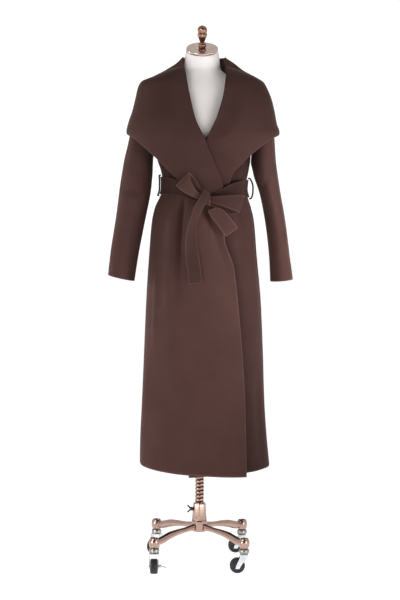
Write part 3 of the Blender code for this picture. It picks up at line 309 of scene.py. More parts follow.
# Half sizes of the coat's inside at each height
BODY = rows_of(
    Section,
    (0.300, 0.181, 0.211, 0.172, 0.165), (0.380, 0.180, 0.203, 0.165, 0.161),
    (0.502, 0.175, 0.194, 0.157, 0.154), (0.656, 0.169, 0.188, 0.149, 0.147),
    (0.810, 0.163, 0.180, 0.142, 0.140), (0.943, 0.155, 0.167, 0.133, 0.134),
    (1.052, 0.146, 0.157, 0.121, 0.116), (1.090, 0.137, 0.148, 0.111, 0.103),
    (1.124, 0.1215, 0.137, 0.103, 0.094), (1.145, 0.1150, 0.132, 0.101, 0.091),
    (1.170, 0.1150, 0.134, 0.101, 0.091), (1.200, 0.1200, 0.140, 0.104, 0.093),
    (1.233, 0.131, 0.145, 0.109, 0.097), (1.262, 0.136, 0.147, 0.114, 0.100),
    (1.300, 0.142, 0.150, 0.120, 0.104), (1.360, 0.150, 0.155, 0.121, 0.110),
    (1.420, 0.158, 0.162, 0.110, 0.111), (1.452, 0.165, 0.168, 0.098, 0.106),
    (1.467, 0.140, 0.148, 0.090, 0.100), (1.485, 0.105, 0.116, 0.080, 0.092),
    (1.499, 0.079, 0.092, 0.070, 0.082), (1.506, 0.066, 0.080, 0.062, 0.074),
    (1.520, 0.0585, 0.071, 0.058, 0.069), (1.536, 0.0545, 0.0665, 0.055, 0.066),
)

# Half sizes of the collar's inside where it hangs free over the shoulders
CAPE = rows_of(
    Section,
    (1.140, 0.124, 0.138, 0.1140, 0.106), (1.182, 0.127, 0.1445, 0.1150, 0.106),
    (1.200, 0.160, 0.172, 0.119, 0.108), (1.232, 0.196, 0.201, 0.124, 0.112),
    (1.280, 0.216, 0.222, 0.133, 0.117), (1.317, 0.2245, 0.2325, 0.138, 0.122),
    (1.341, 0.2195, 0.2245, 0.138, 0.124), (1.377, 0.2075, 0.2175, 0.134, 0.125),
    (1.413, 0.1985, 0.2085, 0.126, 0.125), (1.449, 0.1900, 0.1935, 0.114, 0.121),
    (1.464, 0.1815, 0.1845, 0.107, 0.117), (1.482, 0.1415, 0.1565, 0.096, 0.109),
    (1.500, 0.1085, 0.1225, 0.084, 0.098), (1.520, 0.0760, 0.0960, 0.073, 0.086),
    (1.536, 0.0593, 0.0713, 0.0598, 0.0708),
)

# Where each front ends towards the middle: its front edge below the belt, its roll line above
FRONT_RIGHT_EDGE = rows_of(
    Edge,
    (0.300, 0.1255), (0.600, 0.1156), (0.810, 0.1030), (0.915, 0.0930), (1.000, 0.0680), (1.120, 0.060),
    (1.146, 0.0565), (1.230, 0.030), (1.288, 0.008), (1.355, -0.0216), (1.440, -0.043), (1.485, -0.051),
    (1.506, -0.0545), (1.520, -0.0553), (1.536, -0.0542),
)
FRONT_LEFT_EDGE = rows_of(
    Edge,
    (0.300, -0.032), (0.800, -0.033), (1.120, -0.034), (1.200, -0.012), (1.288, 0.015), (1.361, 0.0486),
    (1.440, 0.069), (1.485, 0.0735), (1.506, 0.0715), (1.520, 0.0690), (1.536, 0.0662),
)

# The lapels' outer edges, from under the belt to the collar's tip at the side
LAPEL_RIGHT_EDGE = rows_of(
    Edge,
    (1.120, -0.012), (1.140, -0.030), (1.170, -0.0645), (1.246, -0.144), (1.317, -0.2245),
)
LAPEL_LEFT_EDGE = rows_of(
    Edge,
    (1.120, 0.077), (1.140, 0.083), (1.188, 0.093), (1.225, 0.122), (1.317, 0.2325),
)

# Gathers under the belt and flutes at the hem: degrees, degrees a metre downwards, metres
FOLDS = rows_of(
    Fold,
    (229, 4, 1.120, 0.690, 0.0075, 6), (243, 0, 1.150, 0.770, -0.0150, 4.5),
    (257, 0, 1.118, 0.880, 0.0070, 5), (278, 105, 1.116, 0.850, -0.0110, 7),
    (214, 0, 0.930, 0.610, 0.0045, 4), (322, -8, 1.120, 0.760, -0.0060, 6),
    (338, 0, 1.120, 0.700, 0.0050, 6), (30, 0, 1.120, 0.760, -0.0060, 6),
    (48, 6, 1.120, 0.640, 0.0070, 7), (68, 0, 1.120, 0.820, -0.0080, 6),
    (86, -4, 1.120, 0.580, 0.0080, 7), (107, 0, 1.120, 0.780, -0.0090, 6),
    (125, 5, 1.120, 0.660, 0.0065, 7), (147, 0, 1.120, 0.800, -0.0065, 6),
    (206, 0, 1.290, 1.090, -0.0050, 4), (217, 20, 1.270, 1.090, -0.0045, 3.5),
    (326, -20, 1.270, 1.090, -0.0050, 3.5), (339, 0, 1.290, 1.090, -0.0055, 4),
    (20, 0, 1.290, 1.090, -0.0045, 5), (41, 0, 1.250, 1.090, -0.0050, 4),
    (61, 0, 1.280, 1.090, -0.0055, 5), (84, 0, 1.240, 1.090, -0.0045, 4),
    (103, 0, 1.280, 1.090, -0.0055, 5), (126, 0, 1.250, 1.090, -0.0050, 4),
    (154, 0, 1.290, 1.090, -0.0050, 5), (202, 0, 0.640, 0.180, 0.0050, 9),
    (238, 3, 0.600, 0.180, -0.0050, 9), (266, 0, 0.640, 0.180, 0.0040, 10),
    (336, 0, 0.620, 0.180, -0.0060, 8), (42, 0, 0.640, 0.180, 0.0080, 10),
    (72, 0, 0.560, 0.180, -0.0080, 9), (100, 0, 0.660, 0.180, 0.0090, 10),
    (136, 0, 0.600, 0.180, -0.0080, 10),
)

# Sleeves from the armhole to the cuff, as distances from the middle
SLEEVE_RIGHT = rows_of(
    Ring,
    (0.1740, 1.4510, 0.1425, 1.2560, 0.0620, 0.000), (0.1840, 1.4390, 0.1455, 1.2500, 0.0615, 0.000),
    (0.1920, 1.4130, 0.1470, 1.2450, 0.0600, 0.000), (0.2010, 1.3750, 0.1478, 1.2380, 0.0580, -0.001),
    (0.2100, 1.3300, 0.1484, 1.2280, 0.0565, -0.002), (0.2190, 1.2820, 0.1490, 1.2100, 0.0550, -0.003),
    (0.2320, 1.2250, 0.1500, 1.1850, 0.0540, -0.004), (0.2440, 1.1450, 0.1560, 1.1280, 0.0530, -0.007),
    (0.2555, 1.0560, 0.1735, 1.0390, 0.0510, -0.012), (0.2695, 0.9640, 0.1905, 0.9480, 0.0485, -0.019),
    (0.2780, 0.8850, 0.2025, 0.8680, 0.0470, -0.026),
)
SLEEVE_LEFT = rows_of(
    Ring,
    (0.1770, 1.4520, 0.1520, 1.2560, 0.0620, 0.000), (0.1870, 1.4400, 0.1523, 1.2490, 0.0620, 0.000),
    (0.1990, 1.4130, 0.1521, 1.2430, 0.0610, 0.000), (0.2080, 1.3750, 0.1516, 1.2350, 0.0600, -0.001),
    (0.2145, 1.3300, 0.1514, 1.2230, 0.0590, -0.002), (0.2185, 1.2820, 0.1562, 1.2040, 0.0580, -0.003),
    (0.2230, 1.2250, 0.1620, 1.1800, 0.0575, -0.004), (0.2355, 1.1420, 0.1795, 1.1280, 0.0570, -0.006),
    (0.2515, 1.0540, 0.1965, 1.0420, 0.0555, -0.012), (0.2645, 0.9600, 0.2075, 0.9500, 0.0535, -0.020),
    (0.2760, 0.8750, 0.2120, 0.8690, 0.0500, -0.027),
)

# The tied belt: each row is the middle of the band, its width, and how the band lies there in degrees
BOW_LOOP_RIGHT = rows_of(
    Ribbon,
    (0.0080, -0.1370, 1.1180, 0.013, 62, 0), (-0.0150, -0.1320, 1.1440, 0.030, 46, 6),
    (-0.0390, -0.1295, 1.1660, 0.048, 46, 8), (-0.0560, -0.1365, 1.1755, 0.052, 46, 8),
    (-0.0525, -0.1480, 1.1690, 0.050, 46, 10), (-0.0430, -0.1510, 1.1540, 0.038, 46, 10),
    (-0.0230, -0.1505, 1.1350, 0.024, 46, 10), (0.0080, -0.1430, 1.1170, 0.013, 62, 0),
)
BOW_LOOP_LEFT = rows_of(
    Ribbon,
    (0.0200, -0.1370, 1.1150, 0.016, 84, 0), (0.0480, -0.1310, 1.1050, 0.034, 74, -3),
    (0.0880, -0.1240, 1.0960, 0.050, 70, -3), (0.1200, -0.1300, 1.1030, 0.053, 70, -4),
    (0.1000, -0.1440, 1.1080, 0.047, 72, -6), (0.0560, -0.1510, 1.1140, 0.028, 78, -6),
    (0.0200, -0.1430, 1.1180, 0.014, 84, 0),
)
BELT_TAIL_RIGHT = rows_of(
    Ribbon,
    (0.0170, -0.1520, 1.1400, 0.022, 147, 0), (0.0040, -0.1605, 1.1130, 0.025, 147, 4),
    (-0.0110, -0.1540, 1.0850, 0.027, 150, 22), (-0.0230, -0.1480, 1.0500, 0.030, 164, 40),
    (-0.0295, -0.1480, 1.0080, 0.036, 176, 30), (-0.0265, -0.1500, 0.9600, 0.040, 182, 14),
    (-0.0205, -0.1530, 0.9100, 0.041, 186, 6), (-0.0160, -0.1560, 0.8690, 0.041, 187, 2),
)
BELT_TAIL_LEFT = rows_of(
    Ribbon,
    (0.0330, -0.1360, 1.0890, 0.030, 20, 0), (0.0480, -0.1360, 1.0740, 0.042, 30, 0),
    (0.0680, -0.1360, 1.0500, 0.044, 35, 0), (0.0910, -0.1320, 1.0200, 0.044, 37, 0),
)
RIBBONS = {
    "bow_loop_right": Strip(BOW_LOOP_RIGHT, 120),
    "bow_loop_left": Strip(BOW_LOOP_LEFT, 120),
    "belt_tail_right": Strip(BELT_TAIL_RIGHT, 130),
    "belt_tail_left": Strip(BELT_TAIL_LEFT, 60),
}

# The band round the middle of the bow, as rings along X
KNOT_RINGS = rows_of(
    KnotRing,
    (-0.013, 1.30, 0.007), (-0.005, 1.05, 0.002), (0.005, 1.00, 0.000), (0.013, 1.18, -0.002),
)

# Half sizes of the dress form
FORM = rows_of(
    Section,
    (0.800, 0.138, 0.138, 0.094, 0.104), (0.860, 0.145, 0.145, 0.100, 0.112),
    (0.940, 0.144, 0.144, 0.100, 0.117), (1.040, 0.126, 0.126, 0.090, 0.095),
    (1.140, 0.105, 0.105, 0.080, 0.076), (1.220, 0.117, 0.117, 0.092, 0.082),
    (1.300, 0.132, 0.132, 0.111, 0.091), (1.360, 0.139, 0.139, 0.108, 0.098),
    (1.415, 0.147, 0.147, 0.095, 0.101), (1.443, 0.150, 0.150, 0.086, 0.097),
    (1.459, 0.131, 0.131, 0.078, 0.091), (1.477, 0.097, 0.097, 0.068, 0.083),
    (1.491, 0.072, 0.072, 0.060, 0.072), (1.502, 0.0580, 0.0580, 0.0550, 0.0620),
    (1.516, 0.0545, 0.0545, 0.0515, 0.0550), (1.538, 0.0520, 0.0520, 0.0490, 0.0490),
    (1.560, 0.0478, 0.0478, 0.0430, 0.0430),
)

# The turned finial, from its top to the cap
FINIAL = rows_of(
    Profile,
    (0.0, 0.0700), (0.0062, 0.0686), (0.0114, 0.0645), (0.0144, 0.0580), (0.0142, 0.0515),
    (0.0128, 0.0465), (0.0144, 0.0435), (0.0144, 0.0380), (0.0122, 0.0330), (0.0088, 0.0235),
    (0.0066, 0.0165), (0.0108, 0.0138), (0.0120, 0.0085), (0.0094, 0.0003), (0.0, 0.0003),
)

# The cap on the neck, from below to its top
CAP = rows_of(
    Profile,
    (0.0, -CAP_HALF), (CAP_RADIUS - 0.0010, -CAP_HALF), (CAP_RADIUS, -CAP_HALF + 0.0010),
    (CAP_RADIUS, CAP_HALF - 0.0024), (CAP_RADIUS - 0.0008, CAP_HALF - 0.0009),
    (CAP_RADIUS - 0.0028, CAP_HALF), (0.0, CAP_HALF),
)

# The post without its thread: foot, core, plain bar, flange and pivot
POST = rows_of(
    Profile,
    (POST_FOOT_RADIUS, POST_FOOT), (POST_FOOT_RADIUS, POST_FOOT + 0.0050),
    (POST_CORE, POST_FOOT + 0.0058), (POST_CORE, TWIST_TOP + 0.002), (BAR_RADIUS, TWIST_TOP + 0.006),
    (BAR_RADIUS, FLANGE_TOP - 0.018), (BAR_RADIUS + 0.004, FLANGE_TOP - 0.013),
    (FLANGE_RADIUS - 0.002, FLANGE_TOP - 0.008), (FLANGE_RADIUS, FLANGE_TOP - 0.006),
    (FLANGE_RADIUS, FLANGE_TOP), (PIVOT_RADIUS, FLANGE_TOP), (PIVOT_RADIUS, FLANGE_TOP + PIVOT_LENGTH),
)

# The column's tapered tube and its hub, round their bores
TUBE = rows_of(
    Profile,
    (COLUMN_BORE, COLUMN_TOP - 0.0010), (0.0163 * CORNER, COLUMN_TOP),
    (0.0180 * CORNER, COLUMN_TOP - 0.0050), (0.0186 * CORNER, COLUMN_TOP - 0.0110),
    (0.0206 * CORNER, HUB_TOP + 0.0015), (0.0200 * CORNER, HUB_TOP - 0.0050),
    (COLUMN_BORE, HUB_TOP - 0.0050),
)
HUB = rows_of(
    Profile,
    (COLUMN_BORE, HUB_TOP), (0.0222 * CORNER, HUB_TOP), (HUB_FLAT * CORNER, HUB_TOP - 0.0030),
    (HUB_FLAT * CORNER, HUB_BOTTOM + 0.0030), ((HUB_FLAT - 0.0030) * CORNER, HUB_BOTTOM),
    (COLUMN_BORE, HUB_BOTTOM),
)

# A leg's bar, from the hub outwards
LEG = rows_of(
    LegSection,
    (0.0239, 0.1120, 0.023, 0.018), (0.0600, 0.1095, 0.0175, 0.017), (0.1000, 0.1060, 0.0210, 0.018),
    (0.1300, 0.1010, 0.0250, 0.019), (0.1560, 0.0935, 0.0262, 0.018), (0.1850, 0.0885, 0.021, 0.016),
)

# The ball socket at a leg's end, round the nut's seat and the stem's bore
SOCKET = rows_of(
    Profile,
    (NUT_RADIUS + 0.0018, NUT_SEAT), (NUT_RADIUS + 0.0020, SOCKET_TOP - 0.0012),
    (NUT_RADIUS + 0.0034, SOCKET_TOP), (SOCKET_RADIUS * 0.90, SOCKET_TOP - 0.0048),
    (SOCKET_RADIUS, SOCKET_TOP - 0.0130), (SOCKET_RADIUS * 0.985, SOCKET_BOTTOM + 0.0110),
    (SOCKET_RADIUS * 0.90, SOCKET_BOTTOM + 0.0048), (SOCKET_RADIUS * 0.76, SOCKET_BOTTOM + 0.0004),
    (STEM_RADIUS + 0.0008, SOCKET_BOTTOM), (STEM_RADIUS + 0.0008, NUT_SEAT),
)

# The clamp bolt's shank and boss
BOLT = rows_of(
    Profile,
    (SHANK_RADIUS, 0.0154), (SHANK_RADIUS, 0.0208), (0.0060, 0.0210), (0.0062, 0.0228),
    (0.0050, 0.0288), (0.0034, 0.0300),
)

# One wing of the clamp bolt, from its boss outwards
WING_STEPS = rows_of(
    WingStep,
    (0.0022, 0.0018, 1.00), (0.0032, 0.0032, 0.95), (0.0030, 0.0032, 1.00), (0.0009, 0.0016, 0.80),
    (0.0003, 0.0007, 0.45),
)

# A castor's bearing cup, stem and nut
CUP = rows_of(
    Profile,
    (0.0, CUP_TOP), (0.0104, CUP_TOP), (0.0142, CUP_TOP - 0.0022), (0.0156, CUP_TOP - 0.0060),
    (0.0158, CUP_TOP - 0.0095), (0.0150, CUP_TOP - 0.0105), (0.0150, CUP_TOP - 0.0118),
    (0.0157, CUP_TOP - 0.0125), (0.0135, CUP_BOTTOM), (0.0, CUP_BOTTOM),
)
STEM = rows_of(
    Profile,
    (STEM_RADIUS, CUP_TOP - 0.0010), (STEM_RADIUS, NUT_BOTTOM + 0.0070),
    (STEM_RADIUS - 0.0010, NUT_BOTTOM + 0.0080),
)
NUT = rows_of(
    Profile,
    (STEM_RADIUS, NUT_BOTTOM), (NUT_RADIUS, NUT_BOTTOM), (NUT_RADIUS, NUT_BOTTOM + 0.0056),
    (STEM_RADIUS, NUT_BOTTOM + 0.0064),
)

# A fork's cheek from its top back to the axle, and half of the axle with its head
CHEEK_STEPS = rows_of(
    FaceStep,
    ((0.0140, 0, AXLE_HEIGHT + 0.0058 - CHEEK_FOOT), 0.60), ((0.0058, 0, -0.0140), 0.82),
)
AXLE = rows_of(
    Profile,
    (AXLE_RADIUS - 0.0008, -AXLE_END), (AXLE_RADIUS + 0.0012, -AXLE_END + 0.0004),
    (AXLE_RADIUS + 0.0012, -CHEEK_OUTSIDE + 0.0002), (AXLE_RADIUS, -CHEEK_OUTSIDE + 0.0004),
    (AXLE_RADIUS, 0.0),
)

# The brake lever's hub and its wing
BRAKE_HUB = rows_of(
    Profile,
    (BRAKE_RADIUS, BRAKE_START), (BRAKE_RADIUS, BRAKE_START + 0.0042), (0.0036, BRAKE_START + 0.0050),
)
BRAKE_WING_LOW = (-0.0040, -0.0012, BRAKE_START + 0.0030)
BRAKE_WING_HIGH = (0.0040, 0.0012, BRAKE_START + 0.0060)
BRAKE_WING_STEPS = rows_of(FaceStep, ((0, 0.0018, 0.0070), 1.25), ((0, 0.0018, 0.0070), 1.20))

# Half of a wheel's outline: the hub, the dished side, the shoulder and two tread ribs
WHEEL = rows_of(
    Profile,
    (0.0036, 0.0115), (0.0075, 0.0115), (0.0085, 0.0105), (0.0150, 0.0100), (0.0165, 0.0115),
    (0.0200, 0.0112), (0.0222, 0.0090), (0.02305, 0.0065), (0.02305, 0.0032), (0.0222, 0.0027),
    (0.0222, 0.0019), (0.02305, 0.0014),
)
CASTORS = rows_of(
    Castor,
    ("front_right", -1, -1, 270), ("front_left", 1, -1, 180), ("back_right", -1, 1, 240),
    ("back_left", 1, 1, 180),
)

# Soft creases of each sleeve: degrees round from the outer line to the back, metres down from the armhole
SLEEVE_CREASES_RIGHT = rows_of(
    Crease,
    (285, 0.235, 8, 0.045, 0.012, -0.0026), (262, 0.255, -12, 0.040, 0.013, 0.0018),
    (255, 0.130, 64, 0.060, 0.020, -0.0034), (322, 0.180, 74, 0.090, 0.016, 0.0016),
    (292, 0.390, 82, 0.120, 0.016, -0.0015), (60, 0.240, 22, 0.055, 0.014, -0.0030),
    (88, 0.275, -16, 0.050, 0.014, 0.0022), (120, 0.160, 58, 0.070, 0.020, -0.0030),
)
SLEEVE_CREASES_LEFT = rows_of(
    Crease,
    (316, 0.270, 88, 0.240, 0.011, 0.0024), (287, 0.240, 86, 0.190, 0.014, -0.0032),
    (248, 0.205, -34, 0.045, 0.010, -0.0022), (240, 0.280, -24, 0.040, 0.011, -0.0018),
    (336, 0.390, 80, 0.090, 0.013, -0.0014), (72, 0.225, 26, 0.055, 0.014, -0.0030),
    (96, 0.265, -12, 0.050, 0.014, 0.0022), (50, 0.390, 70, 0.100, 0.018, -0.0020),
)

# Soft lights: place, target, size, power in watts and spread in degrees
LAMPS = rows_of(
    Lamp,
    ("neck_spot", (0.0, -2.6, 1.75), (0, 0, 1.57), (0.15, 0.15), 0.08, 8),
    ("left_softbox", (-2.0, -2.4, 2.4), (0, 0, 0.9), (1.4, 1.4), 29, 180),
    ("right_softbox", (2.3, -2.4, 0.5), (0, 0, 0.8), (1.4, 1.4), 25, 180),
    ("left_rim", (-1.8, 0.5, 1.2), (-0.25, 0, 1.12), (0.5, 0.9), 1.2, 40),
    ("left_skirt", (-1.8, -1.6, 0.5), (-0.12, 0, 0.4), (0.7, 0.7), 1.0, 40),
    ("right_sleeve", (1.8, -0.9, 0.95), (0.25, 0, 0.95), (0.5, 0.7), 1.6, 28),
)


# Sizes read from the tables


def read(rows, column, z):
    """A table's column at heights z, on a smooth curve through its rows that never overshoots."""
    heights = np.array([row.z for row in rows])
    values = np.array([getattr(row, column) for row in rows])
    step = np.diff(heights)
    rise = np.diff(values) / step
    below, above = step[:-1], step[1:]
    same = rise[:-1] * rise[1:] > 0
    before, after = np.where(same, rise[:-1], 1.0), np.where(same, rise[1:], 1.0)
    first, second = 2 * above + below, above + 2 * below
    inner = np.where(same, (first + second) / (first / before + second / after), 0.0)
    slope = np.concatenate((rise[:1], inner, rise[-1:]))
    z = np.clip(z, heights[0], heights[-1])
    k = np.clip(np.searchsorted(heights, z) - 1, 0, len(rows) - 2)
    t = (z - heights[k]) / step[k]
    start = (2 * t**3 - 3 * t**2 + 1) * values[k] + (t**3 - 2 * t**2 + t) * step[k] * slope[k]
    end = (3 * t**2 - 2 * t**3) * values[k + 1] + (t**3 - t**2) * step[k] * slope[k + 1]
    return start + end


def along_rows(rows, steps):
    """Even steps on a smooth curve through the rows, from the first to the last."""
    rows = np.asarray(rows, dtype=float)
    last = len(rows) - 1
    places = np.linspace(0, last, steps)
    k = np.clip(np.floor(places).astype(int), 0, last - 1)
    t = np.reshape(places - k, (-1,) + (1,) * (rows.ndim - 1))
    before, here, there, after = (rows[np.clip(k + i, 0, last)] for i in (-1, 0, 1, 2))
    bend = t * t * (3 - 2 * t)
    start = t * (1 - t) ** 2 * (there - before) / 2
    return here + (there - here) * bend + start - t * t * (1 - t) * (after - here) / 2


def ease(t):
    """0 to 1 with a soft start and end."""
    t = np.clip(t, 0.0, 1.0)
    return t * t * (3 - 2 * t)


def bell(distance, width):
    """1 at no distance, falling away to both sides."""
    return np.exp(-((distance / width) ** 2))


def mix(a, b, t):
    return a + (b - a) * t


def unit(vectors):
    return vectors / np.maximum(np.linalg.norm(vectors, axis=-1, keepdims=True), LEAST_LENGTH)


def axis_sizes(rows, x, y, z):
    """The half sizes of a section on the side of x and y."""
    across = np.where(np.asarray(x) > 0, read(rows, "left", z), read(rows, "right", z))
    along = np.where(np.asarray(y) > 0, read(rows, "back", z), read(rows, "front", z))
    return across, along


def section_radius(rows, angle, z):
    """Distance from the axis to a section's outline, in the direction of angle."""
    c, s = np.cos(np.radians(angle)), np.sin(np.radians(angle))
    across, along = axis_sizes(rows, c, s, z)
    return ((abs(c) / across) ** SQUARENESS + (abs(s) / along) ** SQUARENESS) ** (-1 / SQUARENESS)


def angle_at_x(rows, x, z):
    """The direction of the section's front point at x."""
    across, along = axis_sizes(rows, x, -1, z)
    share = np.minimum(abs(x) / across, 1.0)
    y = -along * (1 - share**SQUARENESS) ** (1 / SQUARENESS)
    return np.degrees(np.arctan2(y, x)) % 360


def fold_depth(angle, z):
    """How far the gathers and flutes move the cloth out."""
    total = np.zeros(np.broadcast(angle, z).shape)
    for fold in FOLDS:
        middle = fold.angle + fold.lean * (fold.top - z)
        away = (angle - middle + 180) % 360 - 180
        length = fold.top - fold.bottom
        hung = ease((fold.top - z) / (FOLD_TOP_FADE * length))
        fade = hung * ease((z - fold.bottom) / (FOLD_FOOT_FADE * length))
        total = total + fold.depth * fade * bell(away, fold.width)
    return total


def over_lift(angle, z):
    """How far the over front stands out where the under front lies below it."""
    across = ease((angle - OVERLAP_START) / OVERLAP_WIDTH)
    one_layer = WALL + 2 * LAYER_GAP
    height = mix(one_layer, UNDER_LAYERS, ease((z - TWO_LAYERS_FOOT) / TWO_LAYERS_RISE))
    lying = across * height * (1 - ease((z - OVERLAP_END) / OVERLAP_FADE))
    lower = 1 - ease((z - EDGE_STAND_FOOT) / (EDGE_STAND_TOP - EDGE_STAND_FOOT))
    return lying + EDGE_STAND * lower * ease((angle - EDGE_STAND_START) / EDGE_STAND_WIDTH)


def no_lift(angle, z):
    return 0.0


def on_section(angle, z, radius):
    turn = np.radians(angle)
    return np.stack(np.broadcast_arrays(radius * np.cos(turn), radius * np.sin(turn), z), axis=-1)


def body_point(angle, z, lift):
    return on_section(angle, z, section_radius(BODY, angle, z) + fold_depth(angle, z) + lift(angle, z))


def body_normal(angle, z, lift):
    low, high = np.maximum(z - NORMAL_RISE, HEM), np.minimum(z + NORMAL_RISE, STAND_TOP)
    around = body_point(angle + NORMAL_TURN, z, lift) - body_point(angle - NORMAL_TURN, z, lift)
    upward = body_point(angle, high, lift) - body_point(angle, low, lift)
    return unit(np.cross(around, upward))


def cape_point(angle, z):
    return on_section(angle, z, section_radius(CAPE, angle, z))


def armhole_angle(z, side, front):
    """Degrees from the side line to the armhole's edge at height z."""
    half = (SHOULDER_TIP - ARMPIT) / 2
    depth = ARMHOLE_DEPTH * np.sqrt(np.maximum(1 - ((z - ARMPIT - half) / half) ** 2, 0.0))
    across, along = axis_sizes(BODY, side, -front, z)
    x = across * (1 - (depth / along) ** SQUARENESS) ** (1 / SQUARENESS)
    return np.degrees(np.arctan2(depth, x))


def seam_angle(z):
    """Half a seam's gap as an angle."""
    return np.degrees(SEAM / 2 / read(BODY, "right", z))


def panel_heights(top):
    """Levels of a body panel: skirt, waist, closer rows round the armhole, shoulder and neck."""
    half = (SHOULDER_TIP - ARMPIT) / 2
    skirt = np.linspace(HEM, SKIRT_TOP, SKIRT_ROWS, endpoint=False)
    waist = np.linspace(SKIRT_TOP, ARMPIT, WAIST_ROWS, endpoint=False)
    armhole = ARMPIT + half * (1 - np.cos(np.linspace(0, math.pi, ARMHOLE_ROWS)))
    shoulder = np.linspace(SHOULDER_TIP, STAND_TOP, SHOULDER_ROWS)[1:]
    levels = np.concatenate((skirt, waist, armhole, shoulder))
    return np.append(levels[levels < top - ROW_GAP], top)


def hem_shift(z, rise):
    """Rows near the hem move up by as much as rise."""
    return z + rise * (1 - ease((z - HEM) / HEM_REACH))


def collar_seam(side, z):
    """Where lapel and collar meet at height z: the side line, turned forward to the roll line on top."""
    roll, side_line = (FRONT_RIGHT_EDGE, 180) if side < 0 else (FRONT_LEFT_EDGE, 360)
    roll_end = angle_at_x(BODY, read(roll, "x", STAND_TOP), STAND_TOP)
    return mix(side_line, roll_end, ease((z - COLLAR_SEAM_FOOT) / (STAND_TOP - COLLAR_SEAM_FOOT)))


def collar_gap(z):
    """The gap between lapel and collar as an angle."""
    return np.degrees(SEAM / read(CAPE, "right", z))


def crease_depth(creases, turn, along, girth):
    """How far a sleeve's creases move its cloth out."""
    total = np.zeros(np.broadcast(turn, along).shape)
    for crease in creases:
        round_way = ((turn - crease.turn + 180) % 360 - 180) / 360 * girth
        down = along - crease.along
        slant = math.radians(crease.slant)
        lengthwise = round_way * math.cos(slant) + down * math.sin(slant)
        across = down * math.cos(slant) - round_way * math.sin(slant)
        fade = ease(CREASE_FADE - CREASE_FADE * abs(lengthwise) / crease.length)
        total = total + crease.depth * fade * bell(across, crease.width)
    return total


# Cloth walls


def add_object(name, data):
    """A new object in the scene."""
    item = bpy.data.objects.new(name, data)
    bpy.context.scene.collection.objects.link(item)
    return item


def beside_edges(points):
    """Adds close lines inside both ends of a grid, and tells how far the wall has swelled at each line."""
    first = points[1] - points[0]
    last = points[-2] - points[-1]
    reach_first = np.minimum(WALL / 2, EDGE_REACH * np.linalg.norm(first, axis=-1, keepdims=True))
    reach_last = np.minimum(WALL / 2, EDGE_REACH * np.linalg.norm(last, axis=-1, keepdims=True))
    start = [points[0] + unit(first) * reach_first * share for share in EDGE_ROUND]
    end = [points[-1] + unit(last) * reach_last * share for share in reversed(EDGE_ROUND)]
    swell = [math.sqrt(1 - (1 - share) ** 2) for share in EDGE_ROUND]
    swells = np.array(swell + [1.0] * (len(points) - 2) + swell[::-1])
    return np.concatenate((start, points[1:-1], end)), swells


# The share below marks the free edges' lighter tone: partly the cut edge's own, partly a painted highlight
def edge_highlight_share(points, free):
    """1 at a cloth grid's free edges, falling to 0 a few millimetres inside."""
    away = np.full(points.shape[:2], 1.0)
    for axis, ends in enumerate((("first row", "last row"), ("first column", "last column"))):
        step = np.linalg.norm(np.diff(points, axis=axis), axis=-1)
        start = np.zeros_like(step.take([0], axis))
        from_first = np.concatenate((start, np.cumsum(step, axis=axis)), axis=axis)
        from_last = from_first.take([-1], axis) - from_first
        for end, distance in zip(ends, (from_first, from_last)):
            if end in free:
                away = np.minimum(away, distance)
    return (1 - ease(away / EDGE_HIGHLIGHT_FADE)).ravel()


def lapel_shade(points, lapel, length=LAPEL_SHADE):
    """1 under a lapel's outer edge, falling to 0 a few centimetres below it."""
    reach = np.array([abs(row.x) for row in lapel])
    height = np.array([row.z for row in lapel])
    below = np.interp(abs(points[..., 0]), reach, height) - points[..., 2]
    below = np.where(points[..., 1] < 0, below, 1.0)
    return bell(np.maximum(below, 0), length)


def beside_over_front(points, width):
    """1 at the over front's edge, falling to 0 over a width of the cloth that lies under it."""
    away = points[..., 0] - read(FRONT_RIGHT_EDGE, "x", points[..., 2])
    return np.where(points[..., 1] < 0, bell(np.maximum(away, 0), width), 0.0)


def under_front_shade(points, lapel):
    """The shade under the lapel, and that beside the over front's edge."""
    lower = ease((EDGE_STAND_TOP - points[..., 2]) / EDGE_SHADE_FADE)
    return np.maximum(lapel_shade(points, lapel), beside_over_front(points, EDGE_SHADE) * lower)


def sleeve_shade(points, lapel, outside):
    """The lapel's shade on a sleeve, ending towards its outer line."""
    inward = ease((outside - abs(points[..., 0])) / SLEEVE_SHADE_FADE)
    return SLEEVE_SHADE_SHARE * inward * lapel_shade(points, lapel, SLEEVE_SHADE)


def roll_shade(points):
    """The narrow shade of the over front's roll line on the lapel below it."""
    above_belt = ease((points[..., 2] - LAPEL_FOOT) / ROLL_SHADE_FADE)
    below_end = ease((OVERLAP_END - points[..., 2]) / ROLL_SHADE_FADE)
    return beside_over_front(points, ROLL_SHADE) * above_belt * below_end


def grid_normals(points, wrap):
    """Directions square to a grid of points."""
    up = np.gradient(points, axis=0)
    if wrap:
        across = np.roll(points, -1, axis=1) - np.roll(points, 1, axis=1)
    else:
        across = np.gradient(points, axis=1)
    return unit(np.cross(across, up))


def wall_faces(rows, columns, wrap, flip):
    """The faces of a wall's outside and inside, as numbers of its points; both sides share the edges."""
    number = np.arange(rows * columns).reshape(rows, columns)
    second = number + rows * columns
    at_edge = np.zeros((rows, columns), dtype=bool)
    at_edge[0] = at_edge[-1] = True
    if not wrap:
        at_edge[:, 0] = at_edge[:, -1] = True
    second[at_edge] = number[at_edge]
    sides = []
    for ids, reverse in ((number, flip), (second, not flip)):
        if wrap:
            ids = np.concatenate((ids, ids[:, :1]), axis=1)
        corners = [ids[:-1, :-1], ids[:-1, 1:], ids[1:, 1:], ids[1:, :-1]]
        if reverse:
            corners.reverse()
        sides.append(np.stack([corner.ravel() for corner in corners], axis=1))
    return np.concatenate(sides)


def hand_over_cloth(piece, node):
    """Puts a piece of cloth in the place of a solid."""
    piece.data.materials.append(CLOTH.get(node, WOOL))
    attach(piece, "figure")
    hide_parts(node)


